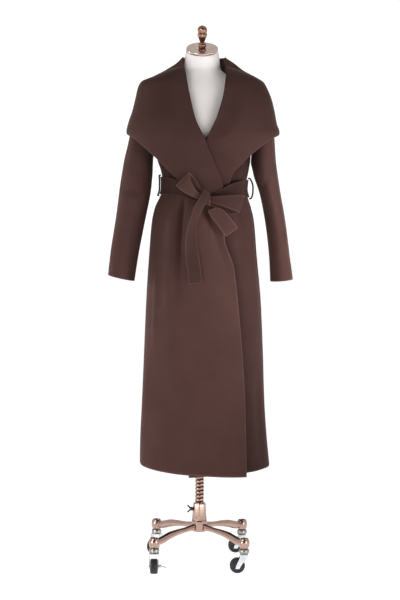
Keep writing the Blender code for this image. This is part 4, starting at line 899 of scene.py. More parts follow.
def cloth_wall(node, points, free, wrap=False, centres=None, middle=False, shade=None):
    """A closed cloth wall with round edges on a grid of points, its thickness added away from centres.

    Free are the edges that no seam holds; they get a lighter tone, partly the cut edge's own and partly a
    painted highlight.
    """
    points, row_swell = beside_edges(points)
    column_swell = np.ones(points.shape[1])
    if not wrap:
        swapped, column_swell = beside_edges(np.swapaxes(points, 0, 1))
        points = np.swapaxes(swapped, 0, 1)
    if centres is None:
        centres = points.mean(axis=1) * (0, 0, 1)
    else:
        centres = np.broadcast_to(centres, (len(points), 3))
    normals = grid_normals(points, wrap)
    inward = np.sum(normals * (points - centres[:, None, :])) < 0
    if inward:
        normals = -normals
    swell = np.minimum(row_swell[:, None], column_swell[None, :])[..., None] * WALL / 2
    core = points if middle else points + normals * (WALL / 2)
    outside, inside = core + normals * swell, core - normals * swell

    rows, columns = points.shape[:2]
    faces = wall_faces(rows, columns, wrap, inward)
    vertices = np.concatenate((outside.reshape(-1, 3), inside.reshape(-1, 3)))
    used = np.unique(faces)
    renumber = np.zeros(len(vertices), dtype=int)
    renumber[used] = np.arange(len(used))
    mesh = bpy.data.meshes.new("coat_" + node)
    mesh.from_pydata(vertices[used].tolist(), [], renumber[faces].tolist())
    mesh.shade_smooth()
    # Attributes for the wool: the free edges' lighter tone with a painted highlight, and painted shade
    edge_highlight_values = edge_highlight_share(points, free)
    shaded = shade(points).ravel() if shade else np.zeros(rows * columns)
    for name, values in (("edge", edge_highlight_values), ("shade", shaded)):
        layer = mesh.attributes.new(name, "FLOAT", "POINT")
        layer.data.foreach_set("value", np.concatenate((values, values))[used])
    hand_over_cloth(add_object("coat_" + node, mesh), node)


def make_back_half(node, side):
    """Half of the back, from the side seam to the seam down the middle."""
    z = panel_heights(BACK_NECK)[:, None]
    outer = (180 if side < 0 else 0) + side * (seam_angle(z) + armhole_angle(z, side, -1))
    inner = 90 - side * seam_angle(z)
    angle = mix(outer, inner, np.linspace(0, 1, BACK_COLUMNS)[None, :])
    points = body_point(angle, z, no_lift)
    points[..., 2] = hem_shift(z, mix(HEM_RISE_LEFT, HEM_RISE_RIGHT, angle / 180))
    cloth_wall(node, points, ("first row",))


def make_front(node, side, edge, lift, hem, columns, shade):
    """A front, from the side seam to its edge in the middle."""
    z = panel_heights(STAND_TOP)[:, None]
    outer = (180 if side < 0 else 360) - side * (seam_angle(z) + armhole_angle(z, side, 1))
    inner = angle_at_x(BODY, read(edge, "x", z), z)
    share = np.linspace(0, 1, columns)[None, :]
    points = body_point(mix(outer, inner, share), z, lift)
    points[..., 2] = hem_shift(z, mix(hem.side_rise, hem.edge_rise, share**hem.sweep))
    cloth_wall(node, points, ("first row", "last column"), shade=shade)


def lapel_rib(z, along, edge_z, edge_x, side, roll, lift):
    """One line across a lapel: round the fold at the roll line, then out to the outer edge."""
    angle = angle_at_x(BODY, read(roll, "x", z), z)
    normal = body_normal(angle, z, lift)
    inward = unit(np.cross(along, normal)) * side
    root = body_point(angle, z, lift) + normal * WALL - inward * SEAM
    turn = np.linspace(0, math.pi, TURN_STEPS)[:-1, None]
    fold = root + (normal * (1 - np.cos(turn)) - inward * np.sin(turn)) * FOLD_RADIUS
    edge_angle = angle_at_x(CAPE, edge_x, edge_z)
    if side > 0 and edge_angle < 180:
        edge_angle += 360
    near_top = ease((z - COLLAR_SEAM_TURN) / (STAND_TOP - COLLAR_SEAM_TURN))
    share = np.linspace(0, 1, LAPEL_COLUMNS)
    height = mix(z, edge_z, share)
    seam = collar_seam(side, height) - side * collar_gap(height)
    to_seam = near_top ** (1 + LAPEL_TURN / (share + LAPEL_TURN_START))
    way = mix(mix(angle, edge_angle, share), seam, to_seam)
    lying = body_point(way, height, lift) + body_normal(way, height, lift) * FOLDED_LAYER
    start = read(roll, "x", height)
    if side > 0:
        start = np.maximum(start, read(FRONT_RIGHT_EDGE, "x", height) + DRAPE_START)
    drape = np.maximum(ease(side * (lying[:, 0] - start) / DRAPE_WIDTH), to_seam)[:, None]
    return np.concatenate((fold, mix(lying, cape_point(way, height), drape)))


def make_lapel(node, side, roll, outer, lift, shade=None):
    """A lapel, rib by rib from behind the belt up to the collar."""
    lower = np.linspace(LAPEL_FOOT, COLLAR_SEAM_TURN, LAPEL_ROWS, endpoint=False)
    levels = np.concatenate((lower, np.linspace(COLLAR_SEAM_TURN, STAND_TOP, LAPEL_TOP_ROWS)))
    roll_line = body_point(angle_at_x(BODY, read(roll, "x", levels), levels), levels, lift)
    along = np.gradient(roll_line, axis=0)
    edge_z = mix(LAPEL_FOOT, COLLAR_TIP, (levels - levels[0]) / (STAND_TOP - levels[0]))
    edge_x = read(outer, "x", edge_z)
    rows = [lapel_rib(*row, side, roll, lift) for row in zip(levels, along, edge_z, edge_x)]
    cloth_wall(node, np.array(rows), ("first row", "last column"), shade=shade)


def make_collar():
    """The back collar: up the stand, over the fold and down the fall."""
    end = math.degrees(SEAM / read(BODY, "right", STAND_TOP))
    share = np.linspace(0, 1, COLLAR_ROWS)[:, None]
    angle = mix(end, 180 - end, share)
    stand_z = np.linspace(COLLAR_FOOT, COLLAR_TOP, STAND_COLUMNS)[None, :]
    stand = on_section(angle, stand_z, section_radius(BODY, angle, stand_z) + WALL)
    hem = mix(COLLAR_BACK_HEM, COLLAR_TIP, abs(np.cos(np.radians(angle))) ** COLLAR_HEM_SWEEP)
    fall_z = mix(STAND_TOP, hem, np.linspace(0, 1, FALL_COLUMNS)[None, :])
    left = collar_seam(1, fall_z) - 360 + collar_gap(fall_z)
    right = collar_seam(-1, fall_z) - collar_gap(fall_z)
    fall = cape_point(mix(left, right, share), fall_z)
    start, end = stand[:, -1:, :], fall[:, :1, :]
    bend = np.linspace(0, math.pi, TURN_STEPS)[None, 1:-1, None]
    rise = np.array((0, 0, FOLD_RADIUS))
    fold = (start + end) / 2 + (start - end) / 2 * np.cos(bend) + rise * np.sin(bend)
    cloth_wall("collar", np.concatenate((stand, fold, fall), axis=1), ("last column",))


def armhole_ring(side, turn):
    """The sleeve's seam, just clear of the body round the armhole."""
    half = (SHOULDER_TIP - ARMPIT) / 2
    z = ARMPIT + half * (1 + np.cos(turn))
    y = ARMHOLE_DEPTH * np.sin(turn)
    across, along = axis_sizes(BODY, side, y, z)
    x = side * across * (1 - (abs(y) / along) ** SQUARENESS) ** (1 / SQUARENESS)
    angle = np.degrees(np.arctan2(y, x))
    clear = WALL + 2 * SEAM + UNDERARM_ROOM * ease(UNDERARM_START - UNDERARM_TURN * np.cos(turn))
    return np.stack((x, y, z), axis=-1) + body_normal(angle, z, no_lift) * clear[:, None]


def make_sleeve(node, side, table, creases, shade):
    """A sleeve from the armhole's seam to the cuff, with its creases."""
    turn = np.linspace(0, 2 * math.pi, SLEEVE_COLUMNS, endpoint=False)
    rings = [armhole_ring(side, turn)]
    for ring in table:
        outer = np.array((side * ring.outer_x, ring.y, ring.outer_z))
        inner = np.array((side * ring.inner_x, ring.y, ring.inner_z))
        reach = (outer - inner) / 2
        across = np.array((0, ring.depth, 0))
        rings.append((outer + inner) / 2 + reach * np.cos(turn)[:, None] + across * np.sin(turn)[:, None])
    points = along_rows(rings, SLEEVE_ROWS)
    middles = points.mean(axis=1)
    along = np.append(0, np.cumsum(np.linalg.norm(np.diff(middles, axis=0), axis=1)))[:, None]
    outward = grid_normals(points, True)
    if np.sum(outward * (points - middles[:, None, :])) < 0:
        outward = -outward
    depth = crease_depth(creases, np.degrees(turn)[None, :], along, SLEEVE_GIRTH)
    points = points + outward * depth[..., None]
    added = len(EDGE_ROUND) - 1
    ends = (middles[:1].repeat(added, axis=0), middles, middles[-1:].repeat(added, axis=0))
    cloth_wall(node, points, ("last row",), wrap=True, centres=np.concatenate(ends), shade=shade)


def belt_middle(side):
    """Height of the belt's middle line, a little lower at the left side than at the right."""
    return BELT_MIDDLE - BELT_SLOPE * side


def make_belt_band():
    """The band round the waist, drawn down and narrower towards the knot."""
    angle = np.linspace(0, 360, BELT_COLUMNS, endpoint=False)[None, :]
    away = angle - KNOT_ANGLE
    middle = belt_middle(np.cos(np.radians(angle)))
    top = middle + BELT_WIDTH / 2 - BELT_TOP_DIP * bell(away, BELT_TOP_SPREAD)
    foot = middle - BELT_WIDTH / 2 - BELT_FOOT_DIP * bell(away, BELT_FOOT_SPREAD)
    z = mix(foot, top, np.linspace(0, 1, BELT_ROWS)[:, None])
    right = ease((angle - BELT_FRONT_START) / BELT_FRONT_RISE)
    left = 1 - ease((angle - BELT_FRONT_END) / BELT_FRONT_FADE)
    radius = section_radius(BODY, angle, z) + mix(BELT_LIFT, BELT_FRONT_LIFT, right * left)
    cloth_wall("belt_band", on_section(angle, z, radius), ("first row", "last row"), wrap=True)


def make_ribbon(node, table, steps):
    """A flat band of the belt along its rows."""
    rows = along_rows(table, steps)
    middle, width = rows[:, None, 0:3], rows[:, None, 3:4]
    tilt, twist = np.radians(rows[:, 4]), np.radians(rows[:, 5])
    flat = np.stack((np.cos(tilt), 0 * tilt, np.sin(tilt)), axis=-1)
    across = flat * np.cos(twist)[:, None] + np.array((0, -1.0, 0)) * np.sin(twist)[:, None]
    share = np.linspace(-0.5, 0.5, RIBBON_COLUMNS)[None, :, None]
    cloth_wall(node, middle + across[:, None, :] * width * share, ALL_EDGES, middle=True)


def make_knot():
    """The short band round the middle of the bow."""
    turn = np.linspace(0, 2 * math.pi, KNOT_COLUMNS, endpoint=False)
    rows = along_rows(KNOT_RINGS, KNOT_ROWS)
    along, swell, rise = rows[:, 0:1], rows[:, 1:2], rows[:, 2:3]
    depth, height = KNOT_DEPTH * swell * np.cos(turn), rise + KNOT_HEIGHT * swell * np.sin(turn)
    centre = np.array(KNOT)
    points = centre + np.stack(np.broadcast_arrays(along, depth, height), axis=-1)
    cloth_wall("belt_knot", points, ("first row", "last row"), wrap=True, centres=centre)


# Finishes


class Value:
    """A value in a shader; arithmetic on it adds Math nodes."""

    def __init__(self, tree, socket):
        self.tree = tree
        self.socket = socket

    def math(self, operation, first, second):
        node = self.tree.nodes.new("ShaderNodeMath")
        node.operation = operation
        for socket, value in zip(node.inputs, (first, second)):
            if isinstance(value, Value):
                self.tree.links.new(value.socket, socket)
            else:
                socket.default_value = value
        return Value(self.tree, node.outputs[0])

    def __add__(self, other):
        return self.math("ADD", self, other)

    def __radd__(self, other):
        return self.math("ADD", other, self)

    def __sub__(self, other):
        return self.math("SUBTRACT", self, other)

    def __mul__(self, other):
        return self.math("MULTIPLY", self, other)

    def __rmul__(self, other):
        return self.math("MULTIPLY", other, self)


# Sockets of a node that blends two colours
BLEND_SHARE = 0
BLEND_FIRST = 6
BLEND_SECOND = 7
BLEND_RESULT = 2


class Graph:
    """A shader's nodes, added one after another."""

    def __init__(self, tree):
        self.tree = tree

    def node(self, kind, settings, inputs, output=0):
        """Adds a node: its settings first, then a value or link for each socket named or numbered."""
        node = self.tree.nodes.new(kind)
        for key, value in settings.items():
            setattr(node, key, value)
        for key, value in inputs.items():
            if isinstance(value, Value):
                self.tree.links.new(value.socket, node.inputs[key])
            else:
                node.inputs[key].default_value = value
        return Value(self.tree, node.outputs[output])

    def place(self, scale):
        """Object coordinates, scaled along each axis."""
        here = self.node("ShaderNodeTexCoord", {}, {}, "Object")
        return self.node("ShaderNodeMapping", {}, {"Vector": here, "Scale": scale})

    def noise(self, scale, detail=2.0, stretch=(1.0, 1.0, 1.0), roughness=0.5):
        inputs = {"Vector": self.place(stretch), "Scale": scale, "Detail": detail, "Roughness": roughness}
        return self.node("ShaderNodeTexNoise", {}, inputs)

    def blend(self, share, first, second):
        """A colour between two."""
        inputs = {BLEND_SHARE: share, BLEND_FIRST: first, BLEND_SECOND: second}
        return self.node("ShaderNodeMix", {"data_type": "RGBA"}, inputs, BLEND_RESULT)

    def span(self, value, low, high, to_low=0.0, to_high=1.0):
        inputs = {"Value": value, "From Min": low, "From Max": high, "To Min": to_low, "To Max": to_high}
        return self.node("ShaderNodeMapRange", {"interpolation_type": "SMOOTHSTEP"}, inputs)

    def bump(self, height, strength, distance):
        inputs = {"Height": height, "Strength": strength, "Distance": distance}
        return self.node("ShaderNodeBump", {}, inputs)


class Finish(Graph):
    """A material built from nodes round one Principled shader."""

    def __init__(self, name, constants):
        self.material = bpy.data.materials.new(name)
        self.material.use_nodes = True
        super().__init__(self.material.node_tree)
        self.shader = self.tree.nodes["Principled BSDF"]
        for socket, value in constants.items():
            self.shader.inputs[socket].default_value = value

    def use(self, **links):
        for socket, value in links.items():
            self.tree.links.new(value.socket, self.shader.inputs[socket.replace("_", " ")])
        return self.material


# Tones of the wool: its ground in two, nap hollows, painted shade, cut edges with a painted highlight,
# flecks and bloom
WOOL_GROUND = (0.068, 0.0315, 0.0270)
WOOL_CLOUD = (0.080, 0.0380, 0.0330)
WOOL_HOLLOW = (0.050, 0.0230, 0.0200)
WOOL_SHADED = (0.016, 0.0074, 0.0064)
WOOL_EDGE_HIGHLIGHT = (0.170, 0.100, 0.090)
WOOL_FLECK = (0.110, 0.0585, 0.0520)
WOOL_BLOOM = (0.90, 0.66, 0.62)

# Tones of the other finishes, each from its ground to its clouds
JERSEY_GROUND = (0.78, 0.73, 0.71)
JERSEY_CLOUD = (0.84, 0.80, 0.78)
RUBBER_GROUND = (0.022, 0.023, 0.026)
RUBBER_DUST = (0.085, 0.088, 0.095)
PAPER_GROUND = (0.86, 0.86, 0.86)
PAPER_GRAIN = (0.90, 0.90, 0.90)

# How strongly each layer shows: painted shade, edges with their painted highlight, flecks, dust; how far
# nap and flecks rise
SHADE_STRENGTH = 0.65
EDGE_HIGHLIGHT_STRENGTH = 0.60
FLECK_STRENGTH = 0.25
DUST_STRENGTH = 0.5
NAP_RELIEF = 0.7
FLECK_RELIEF = 0.3

# The roughness of each finish, and what its grain, film or dust adds to it
WOOL_ROUGHNESS = 0.82
NAP_ROUGHNESS = 0.12
JERSEY_ROUGHNESS = 0.8
STITCH_ROUGHNESS = 0.1
FILM_ROUGHNESS = 0.10
GRAIN_ROUGHNESS = 0.06
RUBBER_ROUGHNESS = 0.45
DUST_ROUGHNESS = 0.2


def deeper(colour, depth=1.0):
    """A colour scaled by depth, as a socket takes it."""
    return tuple(part * depth for part in colour) + (1.0,)


def wool(name, depth):
    """Brushed coating cloth: short nap, fine flecks and a soft bloom at grazing angles.

    Depth scales its tone: lower for the thread's own darker colour, and for painted shade on whole pieces
    of cloth.
    """
    finish = Finish(
        name,
        {
            "Specular IOR Level": 0.12,
            "Sheen Weight": 0.16,
            "Sheen Roughness": 0.35,
            "Sheen Tint": deeper(WOOL_BLOOM),
        },
    )
    cloud = finish.span(finish.noise(scale=9.0, detail=3.0), low=0.30, high=0.70)
    nap = finish.noise(scale=420.0, detail=4.0, stretch=(1.0, 1.0, 0.28), roughness=0.65)
    fleck = finish.span(finish.noise(scale=1500.0), low=0.35, high=0.75)
    # Painted on the cloth: lighter free edges, partly the cut edge and partly a painted highlight, and
    # painted shade
    edge = finish.node("ShaderNodeAttribute", {"attribute_name": "edge"}, {}, "Fac")
    shade = finish.node("ShaderNodeAttribute", {"attribute_name": "shade"}, {}, "Fac")
    tone = finish.blend(cloud, deeper(WOOL_GROUND, depth), deeper(WOOL_CLOUD, depth))
    layers = (
        (finish.span(nap, low=0.35, high=0.72, to_high=0.32), WOOL_HOLLOW),
        (shade * SHADE_STRENGTH, WOOL_SHADED),
        (edge * EDGE_HIGHLIGHT_STRENGTH, WOOL_EDGE_HIGHLIGHT),
        (fleck * FLECK_STRENGTH, WOOL_FLECK),
    )
    for share, colour in layers:
        tone = finish.blend(share, tone, deeper(colour, depth))
    rise = nap * NAP_RELIEF + fleck * FLECK_RELIEF
    relief = finish.bump(rise, strength=0.35, distance=0.0006)
    roughness = WOOL_ROUGHNESS + NAP_ROUGHNESS * nap
    return finish.use(Base_Color=tone, Roughness=roughness, Normal=relief)


def jersey():
    """Fine white knit stretched over the form."""
    constants = {"Specular IOR Level": 0.2, "Sheen Weight": 0.1, "Sheen Roughness": 0.5}
    finish = Finish("white_jersey", constants)
    stitch = finish.noise(scale=1400.0, detail=1.0, stretch=(1.0, 1.0, 0.6))
    tone = finish.blend(finish.noise(scale=12.0), deeper(JERSEY_GROUND), deeper(JERSEY_CLOUD))
    relief = finish.bump(stitch, strength=0.2, distance=0.0004)
    roughness = JERSEY_ROUGHNESS + STITCH_ROUGHNESS * stitch
    return finish.use(Base_Color=tone, Roughness=roughness, Normal=relief)


def metal(name, plating):
    """Polished or plated metal with a faint uneven film."""
    finish = Finish(name, {"Metallic": 1.0})
    film = finish.span(finish.noise(scale=38.0, detail=4.0), low=0.3, high=0.7)
    fine = finish.noise(plating.grain, detail=3.0)
    tone = finish.blend(film * plating.wear, deeper(plating.light), deeper(plating.dark))
    roughness = plating.roughness + FILM_ROUGHNESS * film + GRAIN_ROUGHNESS * fine
    relief = finish.bump(fine, strength=0.03, distance=0.0004)
    return finish.use(Base_Color=tone, Roughness=roughness, Normal=relief)


def rubber():
    """Black rubber with a little dust."""
    finish = Finish("black_rubber", {"Specular IOR Level": 0.4})
    dust = finish.span(finish.noise(scale=60.0, detail=4.0), low=0.45, high=0.75)
    tone = finish.blend(dust * DUST_STRENGTH, deeper(RUBBER_GROUND), deeper(RUBBER_DUST))
    relief = finish.bump(finish.noise(scale=900.0), strength=0.15, distance=0.0004)
    roughness = RUBBER_ROUGHNESS + DUST_ROUGHNESS * dust
    return finish.use(Base_Color=tone, Roughness=roughness, Normal=relief)


# Painted shade: darker copies of the wool for the lapels and collar, belt band, under front, left bow loop
# and right tail
WOOL = wool("brown_wool", depth=1.0)
LAPEL_SHADED_WOOL = wool("brown_wool_painted_shade_lapels", depth=0.82)
BELT_SHADED_WOOL = wool("brown_wool_painted_shade_belt", depth=0.50)
UNDER_SHADED_WOOL = wool("brown_wool_painted_shade_under", depth=0.72)
THREAD = wool("brown_thread", depth=0.35)
CLOTH = {
    "lapel_right": LAPEL_SHADED_WOOL,
    "lapel_left": LAPEL_SHADED_WOOL,
    "collar": LAPEL_SHADED_WOOL,
    "belt_band": BELT_SHADED_WOOL,
    "front_left": UNDER_SHADED_WOOL,
    "bow_loop_left": UNDER_SHADED_WOOL,
    "belt_tail_right": UNDER_SHADED_WOOL,
}
JERSEY = jersey()

# Metals: the light and the dark tone, roughness, scale of the grain and how far the film shows
ROSE_METAL = metal("polished_rose_metal", Plating((0.58, 0.46, 0.39), (0.46, 0.35, 0.29), 0.10, 260.0, 0.5))
COPPER = metal("polished_copper", Plating((0.48, 0.325, 0.265), (0.36, 0.26, 0.23), 0.14, 320.0, 0.5))
POST_COPPER = metal("wound_copper", Plating((0.44, 0.285, 0.235), (0.30, 0.185, 0.15), 0.14, 320.0, 0.7))
DEEP_COPPER = metal("deep_copper", Plating((0.30, 0.17, 0.12), (0.14, 0.08, 0.06), 0.07, 300.0, 0.6))
ZINC = metal("zinc_plate", Plating((0.82, 0.84, 0.89), (0.58, 0.59, 0.61), 0.24, 400.0, 0.6))
GREY_ZINC = metal("grey_zinc", Plating((0.44, 0.44, 0.40), (0.22, 0.22, 0.19), 0.22, 400.0, 0.7))
DARK_STEEL = metal("dark_steel", Plating((0.12, 0.09, 0.08), (0.05, 0.04, 0.04), 0.28, 300.0, 0.7))
RUBBER = rubber()


# Hard pieces


class Work:
    """A hard piece drawn out of a circle in edit mode, ring by ring."""

    def __init__(self, name, sides, radius, centre, facing=(0.0, 0.0, 0.0)):
        bpy.ops.object.select_all(action="DESELECT")
        bpy.ops.mesh.primitive_circle_add(vertices=sides, radius=radius, location=centre, rotation=facing)
        self.piece = bpy.context.object
        self.piece.name = name
        self.sides = sides
        self.rings = 1
        bpy.ops.object.transform_apply(location=True, rotation=True, scale=True)
        bpy.ops.object.mode_set(mode="EDIT")
        bpy.ops.mesh.select_all(action="SELECT")

    def extrude(self, move):
        self.rings += 1
        bpy.ops.mesh.extrude_region_move(TRANSFORM_OT_translate={"value": tuple(move)})

    def resize(self, shares, centre):
        bpy.ops.transform.resize(value=tuple(shares), center_override=tuple(centre))

    def rotate(self, angle, axis, centre):
        """Turns the last ring right-handed about an axis."""
        bpy.ops.transform.rotate(value=-angle, orient_axis=axis, center_override=tuple(centre))

    def select_rings(self, *rings):
        bpy.ops.mesh.select_all(action="DESELECT")
        bpy.ops.object.mode_set(mode="OBJECT")
        for ring in rings:
            for vertex in self.piece.data.vertices[ring * self.sides : (ring + 1) * self.sides]:
                vertex.select = True
        bpy.ops.object.mode_set(mode="EDIT")

    def close_ends(self):
        for ring in (0, self.rings - 1):
            self.select_rings(ring)
            bpy.ops.mesh.edge_face_add()

    def join_ends(self):
        """Joins the first ring to the last, round a bore."""
        self.select_rings(0, self.rings - 1)
        bpy.ops.mesh.bridge_edge_loops()

    def done(self, bevel=None, smooth=SMOOTH_ANGLE):
        return finish_shape(self.piece, bevel, smooth)


def finish_shape(piece, bevel=None, smooth=SMOOTH_ANGLE):
    """Leaves edit mode with normals outward, edges rounded and faces shaded."""
    bpy.ops.mesh.select_all(action="SELECT")
    bpy.ops.mesh.remove_doubles(threshold=SAME_POINT)
    bpy.ops.mesh.normals_make_consistent(inside=False)
    bpy.ops.object.mode_set(mode="OBJECT")
    if bevel:
        rounding = piece.modifiers.new("rounding", "BEVEL")
        rounding.width = bevel
        rounding.segments = ROUNDING_STEPS
        rounding.limit_method = "ANGLE"
        rounding.angle_limit = math.radians(ROUNDING_ANGLE)
        bpy.ops.object.modifier_apply(modifier="rounding")
    bpy.ops.object.shade_smooth_by_angle(angle=math.radians(smooth))
    return piece


def turned(name, rows, sides, bevel=None, bored=False, smooth=SMOOTH_ANGLE):
    """A piece turned about Z; its rows run from one end to the other, or round the bore."""
    work = Work(name, sides, max(rows[0].radius, TIP), (0, 0, rows[0].z))
    for row, after in zip(rows, rows[1:]):
        work.extrude((0, 0, after.z - row.z))
        share = max(after.radius, TIP) / max(row.radius, TIP)
        work.resize((share, share, 1), (0, 0, after.z))
    if bored:
        work.join_ends()
    else:
        work.close_ends()
    return work.done(bevel, smooth)


def smooth_profile(rows, steps):
    """A turned profile on a smooth curve through its rows."""
    return rows_of(Profile, *along_rows(rows, steps).tolist())


def mirrored(rows):
    """A profile carried on through its middle to the other side."""
    return rows + [Profile(row.radius, -row.z) for row in reversed(rows)]


def block(name, low, high):
    """A box between two corners, to be shaped further."""
    low, high = Vector(low), Vector(high)
    bpy.ops.object.select_all(action="DESELECT")
    bpy.ops.mesh.primitive_cube_add(size=1.0, location=(low + high) / 2)
    piece = bpy.context.object
    piece.name = name
    piece.scale = high - low
    bpy.ops.object.transform_apply(location=True, rotation=True, scale=True)
    return piece


def draw_face(piece, direction, moves):
    """Draws the face that looks along a direction out in steps of a move and a change of width along X."""
    bpy.ops.object.mode_set(mode="EDIT")
    bpy.ops.mesh.select_mode(type="FACE")
    bpy.ops.mesh.select_all(action="DESELECT")
    bpy.ops.object.mode_set(mode="OBJECT")
    centre = Vector()
    for face in piece.data.polygons:
        face.select = face.normal.dot(Vector(direction)) > FACING
        if face.select:
            centre = face.center.copy()
    bpy.ops.object.mode_set(mode="EDIT")
    for move, share in moves:
        bpy.ops.mesh.extrude_region_move(TRANSFORM_OT_translate={"value": move})
        centre = centre + Vector(move)
        bpy.ops.transform.resize(value=(share, 1, 1), center_override=tuple(centre))
    bpy.ops.mesh.select_mode(type="VERT")


def choose(*pieces):
    """Selects these pieces alone, the first one active."""
    bpy.ops.object.select_all(action="DESELECT")
    for piece in pieces:
        piece.select_set(True)
    bpy.context.view_layer.objects.active = pieces[0]


def joined(name, pieces):
    """Several shapes as one piece."""
    choose(*pieces)
    bpy.ops.object.join()
    pieces[0].name = name
    return pieces[0]


def settle(piece, matrix):
    """Moves a finished shape to its place and leaves its object at the origin."""
    piece.matrix_world = matrix
    choose(piece)
    bpy.ops.object.transform_apply(location=True, rotation=True, scale=True)
    return piece


def another(piece, name):
    """A copy with its own mesh."""
    copy = piece.copy()
    copy.data = piece.data.copy()
    copy.name = name
    bpy.context.scene.collection.objects.link(copy)
    return copy


def hand_over(piece, node, body, material):
    """Puts a finished piece in the place of a solid."""
    piece.name = "fine_" + node
    piece.data.materials.clear()
    piece.data.materials.append(material)
    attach(piece, body)
    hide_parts(node)


def make_form():
    """The padded form: from its pivot bore over the base, up the body and to the neck's slanting top."""
    body = np.linspace(FORM_BOTTOM, FORM_BODY_TOP, FORM_BODY_ROWS)
    levels = np.concatenate((body, np.linspace(FORM_NECK_FOOT, NECK_TOP, FORM_NECK_ROWS)))
    right, front, back = (read(FORM, column, levels) for column in ("right", "front", "back"))
    middle, half = (back - front) / 2, (back + front) / 2
    tilt = np.arctan(math.tan(NECK_TILT) * ease((levels - NECK_ROOT) / (NECK_TURN - NECK_ROOT)))
    stretch = half / np.cos(tilt)
    work = Work("form", FORM_SIDES, PIVOT_BORE, (0, 0, FORM_BOTTOM + PIVOT_DEPTH))
    work.extrude((0, 0, -PIVOT_DEPTH))
    work.extrude((0, middle[0], 0))
    work.resize((right[0] / PIVOT_BORE, half[0] / PIVOT_BORE, 1), (0, middle[0], FORM_BOTTOM))
    for k in range(1, len(levels)):
        work.extrude((0, middle[k] - middle[k - 1], levels[k] - levels[k - 1]))
        centre = (0, middle[k], levels[k])
        work.rotate(-tilt[k - 1], "X", centre)
        work.resize((right[k] / right[k - 1], stretch[k] / stretch[k - 1], 1), centre)
        work.rotate(tilt[k], "X", centre)
    work.close_ends()
    hand_over(work.done(smooth=50), "form_torso", "figure", JERSEY)


def make_neck():
    """The cap on the neck and the finial on the cap, both square to the slant."""
    slant = Matrix.Translation(CAP_CENTRE) @ Matrix.Rotation(NECK_TILT, 4, "X")
    cap = settle(turned("cap", CAP, sides=128, bevel=0.0005), slant)
    hand_over(cap, "neck_cap", "figure", ROSE_METAL)
    finial = turned("finial", smooth_profile(FINIAL, FINIAL_STEPS), sides=64)
    settle(finial, slant @ Matrix.Translation((0, 0, CAP_HALF)))
    hand_over(finial, "neck_finial", "figure", DEEP_COPPER)


def make_post():
    """A thick round thread wound up the bar, the plain bar above it, the flange and the pivot."""
    centre = (POST_RADIUS - THREAD_DEPTH, 0, POST_FOOT + POST_PITCH / 2)
    work = Work("thread", THREAD_SIDES, 1.0, centre, (math.pi / 2, 0, 0))
    work.resize((THREAD_DEPTH, 1, POST_PITCH / 2), centre)
    bpy.ops.object.mode_set(mode="OBJECT")
    wind = work.piece.modifiers.new("wind", "SCREW")
    wind.axis = "Z"
    wind.screw_offset = POST_PITCH
    wind.iterations = int((TWIST_TOP - POST_FOOT) / POST_PITCH)
    wind.steps = THREAD_STEPS
    wind.render_steps = THREAD_STEPS
    bpy.ops.object.modifier_apply(modifier="wind")
    bpy.ops.object.mode_set(mode="EDIT")
    bpy.ops.mesh.select_all(action="DESELECT")
    bpy.ops.mesh.select_non_manifold()
    bpy.ops.mesh.edge_face_add()
    thread = finish_shape(work.piece, smooth=80)
    bar = turned("bar", POST, sides=64, bevel=0.0006)
    hand_over(joined("post_all", [thread, bar]), "post", "mast", POST_COPPER)


def make_column():
    """An eight-sided tapered tube standing in an eight-sided hub."""
    upper = turned("tube", TUBE, COLUMN_SIDES, bevel=0.0011, bored=True)
    lower = turned("hub", HUB, COLUMN_SIDES, bevel=0.0011, bored=True)
    settle(lower, Matrix.Rotation(HALF_SIDE, 4, "Z"))
    hand_over(joined("column_all", [upper, lower]), "column", "stand", COPPER)


def make_legs():
    """A cast leg: a bar drawn along its curve, a ball socket with a seat for the nut, and three copies."""
    reach, middle, height, width = along_rows(LEG, LEG_STEPS).T
    centre = (reach[0], 0, middle[0])
    work = Work("leg", LEG_SIDES, 1.0, centre, (0, math.pi / 2, 0))
    work.resize((1, width[0] / 2, height[0] / 2), centre)
    for k in range(1, LEG_STEPS):
        work.extrude((reach[k] - reach[k - 1], 0, middle[k] - middle[k - 1]))
        shares = (1, width[k] / width[k - 1], height[k] / height[k - 1])
        work.resize(shares, (reach[k], 0, middle[k]))
    work.close_ends()
    arm = work.done(bevel=0.0022, smooth=40)
    socket = turned("socket", SOCKET, sides=48, bevel=0.0004, bored=True, smooth=60)
    settle(socket, Matrix.Translation((CASTOR_REACH * math.sqrt(2), 0, 0)))
    first = joined("leg_all", [arm, socket])
    for castor in CASTORS:
        heading = math.atan2(castor.side_y, castor.side_x)
        leg = settle(another(first, "leg_copy"), Matrix.Rotation(heading, 4, "Z"))
        hand_over(leg, "leg_" + castor.name, "stand", COPPER)
    bpy.data.objects.remove(first)


def make_clamp_bolt():
    """The wing bolt: shank, boss and two round-ended wings."""
    shapes = [turned("bolt", BOLT, sides=32, bevel=0.0005)]
    for side in (1, -1):
        start = Vector((side * WING_ASIDE, 0, WING_OUT))
        work = Work("wing", WING_SIDES, WING_RADIUS, start, (0, side * WING_LEAN, 0))
        work.resize((1, WING_FLATNESS, 1), start)
        for step in WING_STEPS:
            move = Vector((side * step.aside, 0, step.out))
            work.extrude(move)
            start = start + move
            work.resize((step.share, step.share**0.5, step.share), start)
        work.close_ends()
        shapes.append(work.done(smooth=60))
    sideways = Matrix.Translation((0, 0, BOLT_HEIGHT)) @ Matrix.Rotation(-math.pi / 2, 4, "Y")
    bolt = settle(joined("bolt_all", shapes), sideways)
    hand_over(bolt, "clamp_bolt", "clamp", DARK_STEEL)


def make_mount():
    """A castor's bearing cup, stem and nut."""
    cup = turned("cup", CUP, sides=48, bevel=0.0004, smooth=50)
    stem = turned("stem", STEM, sides=24, bevel=0.0003)
    nut = turned("nut", NUT, sides=6, bevel=0.0006, bored=True)
    return joined("mount_all", [cup, stem, nut])


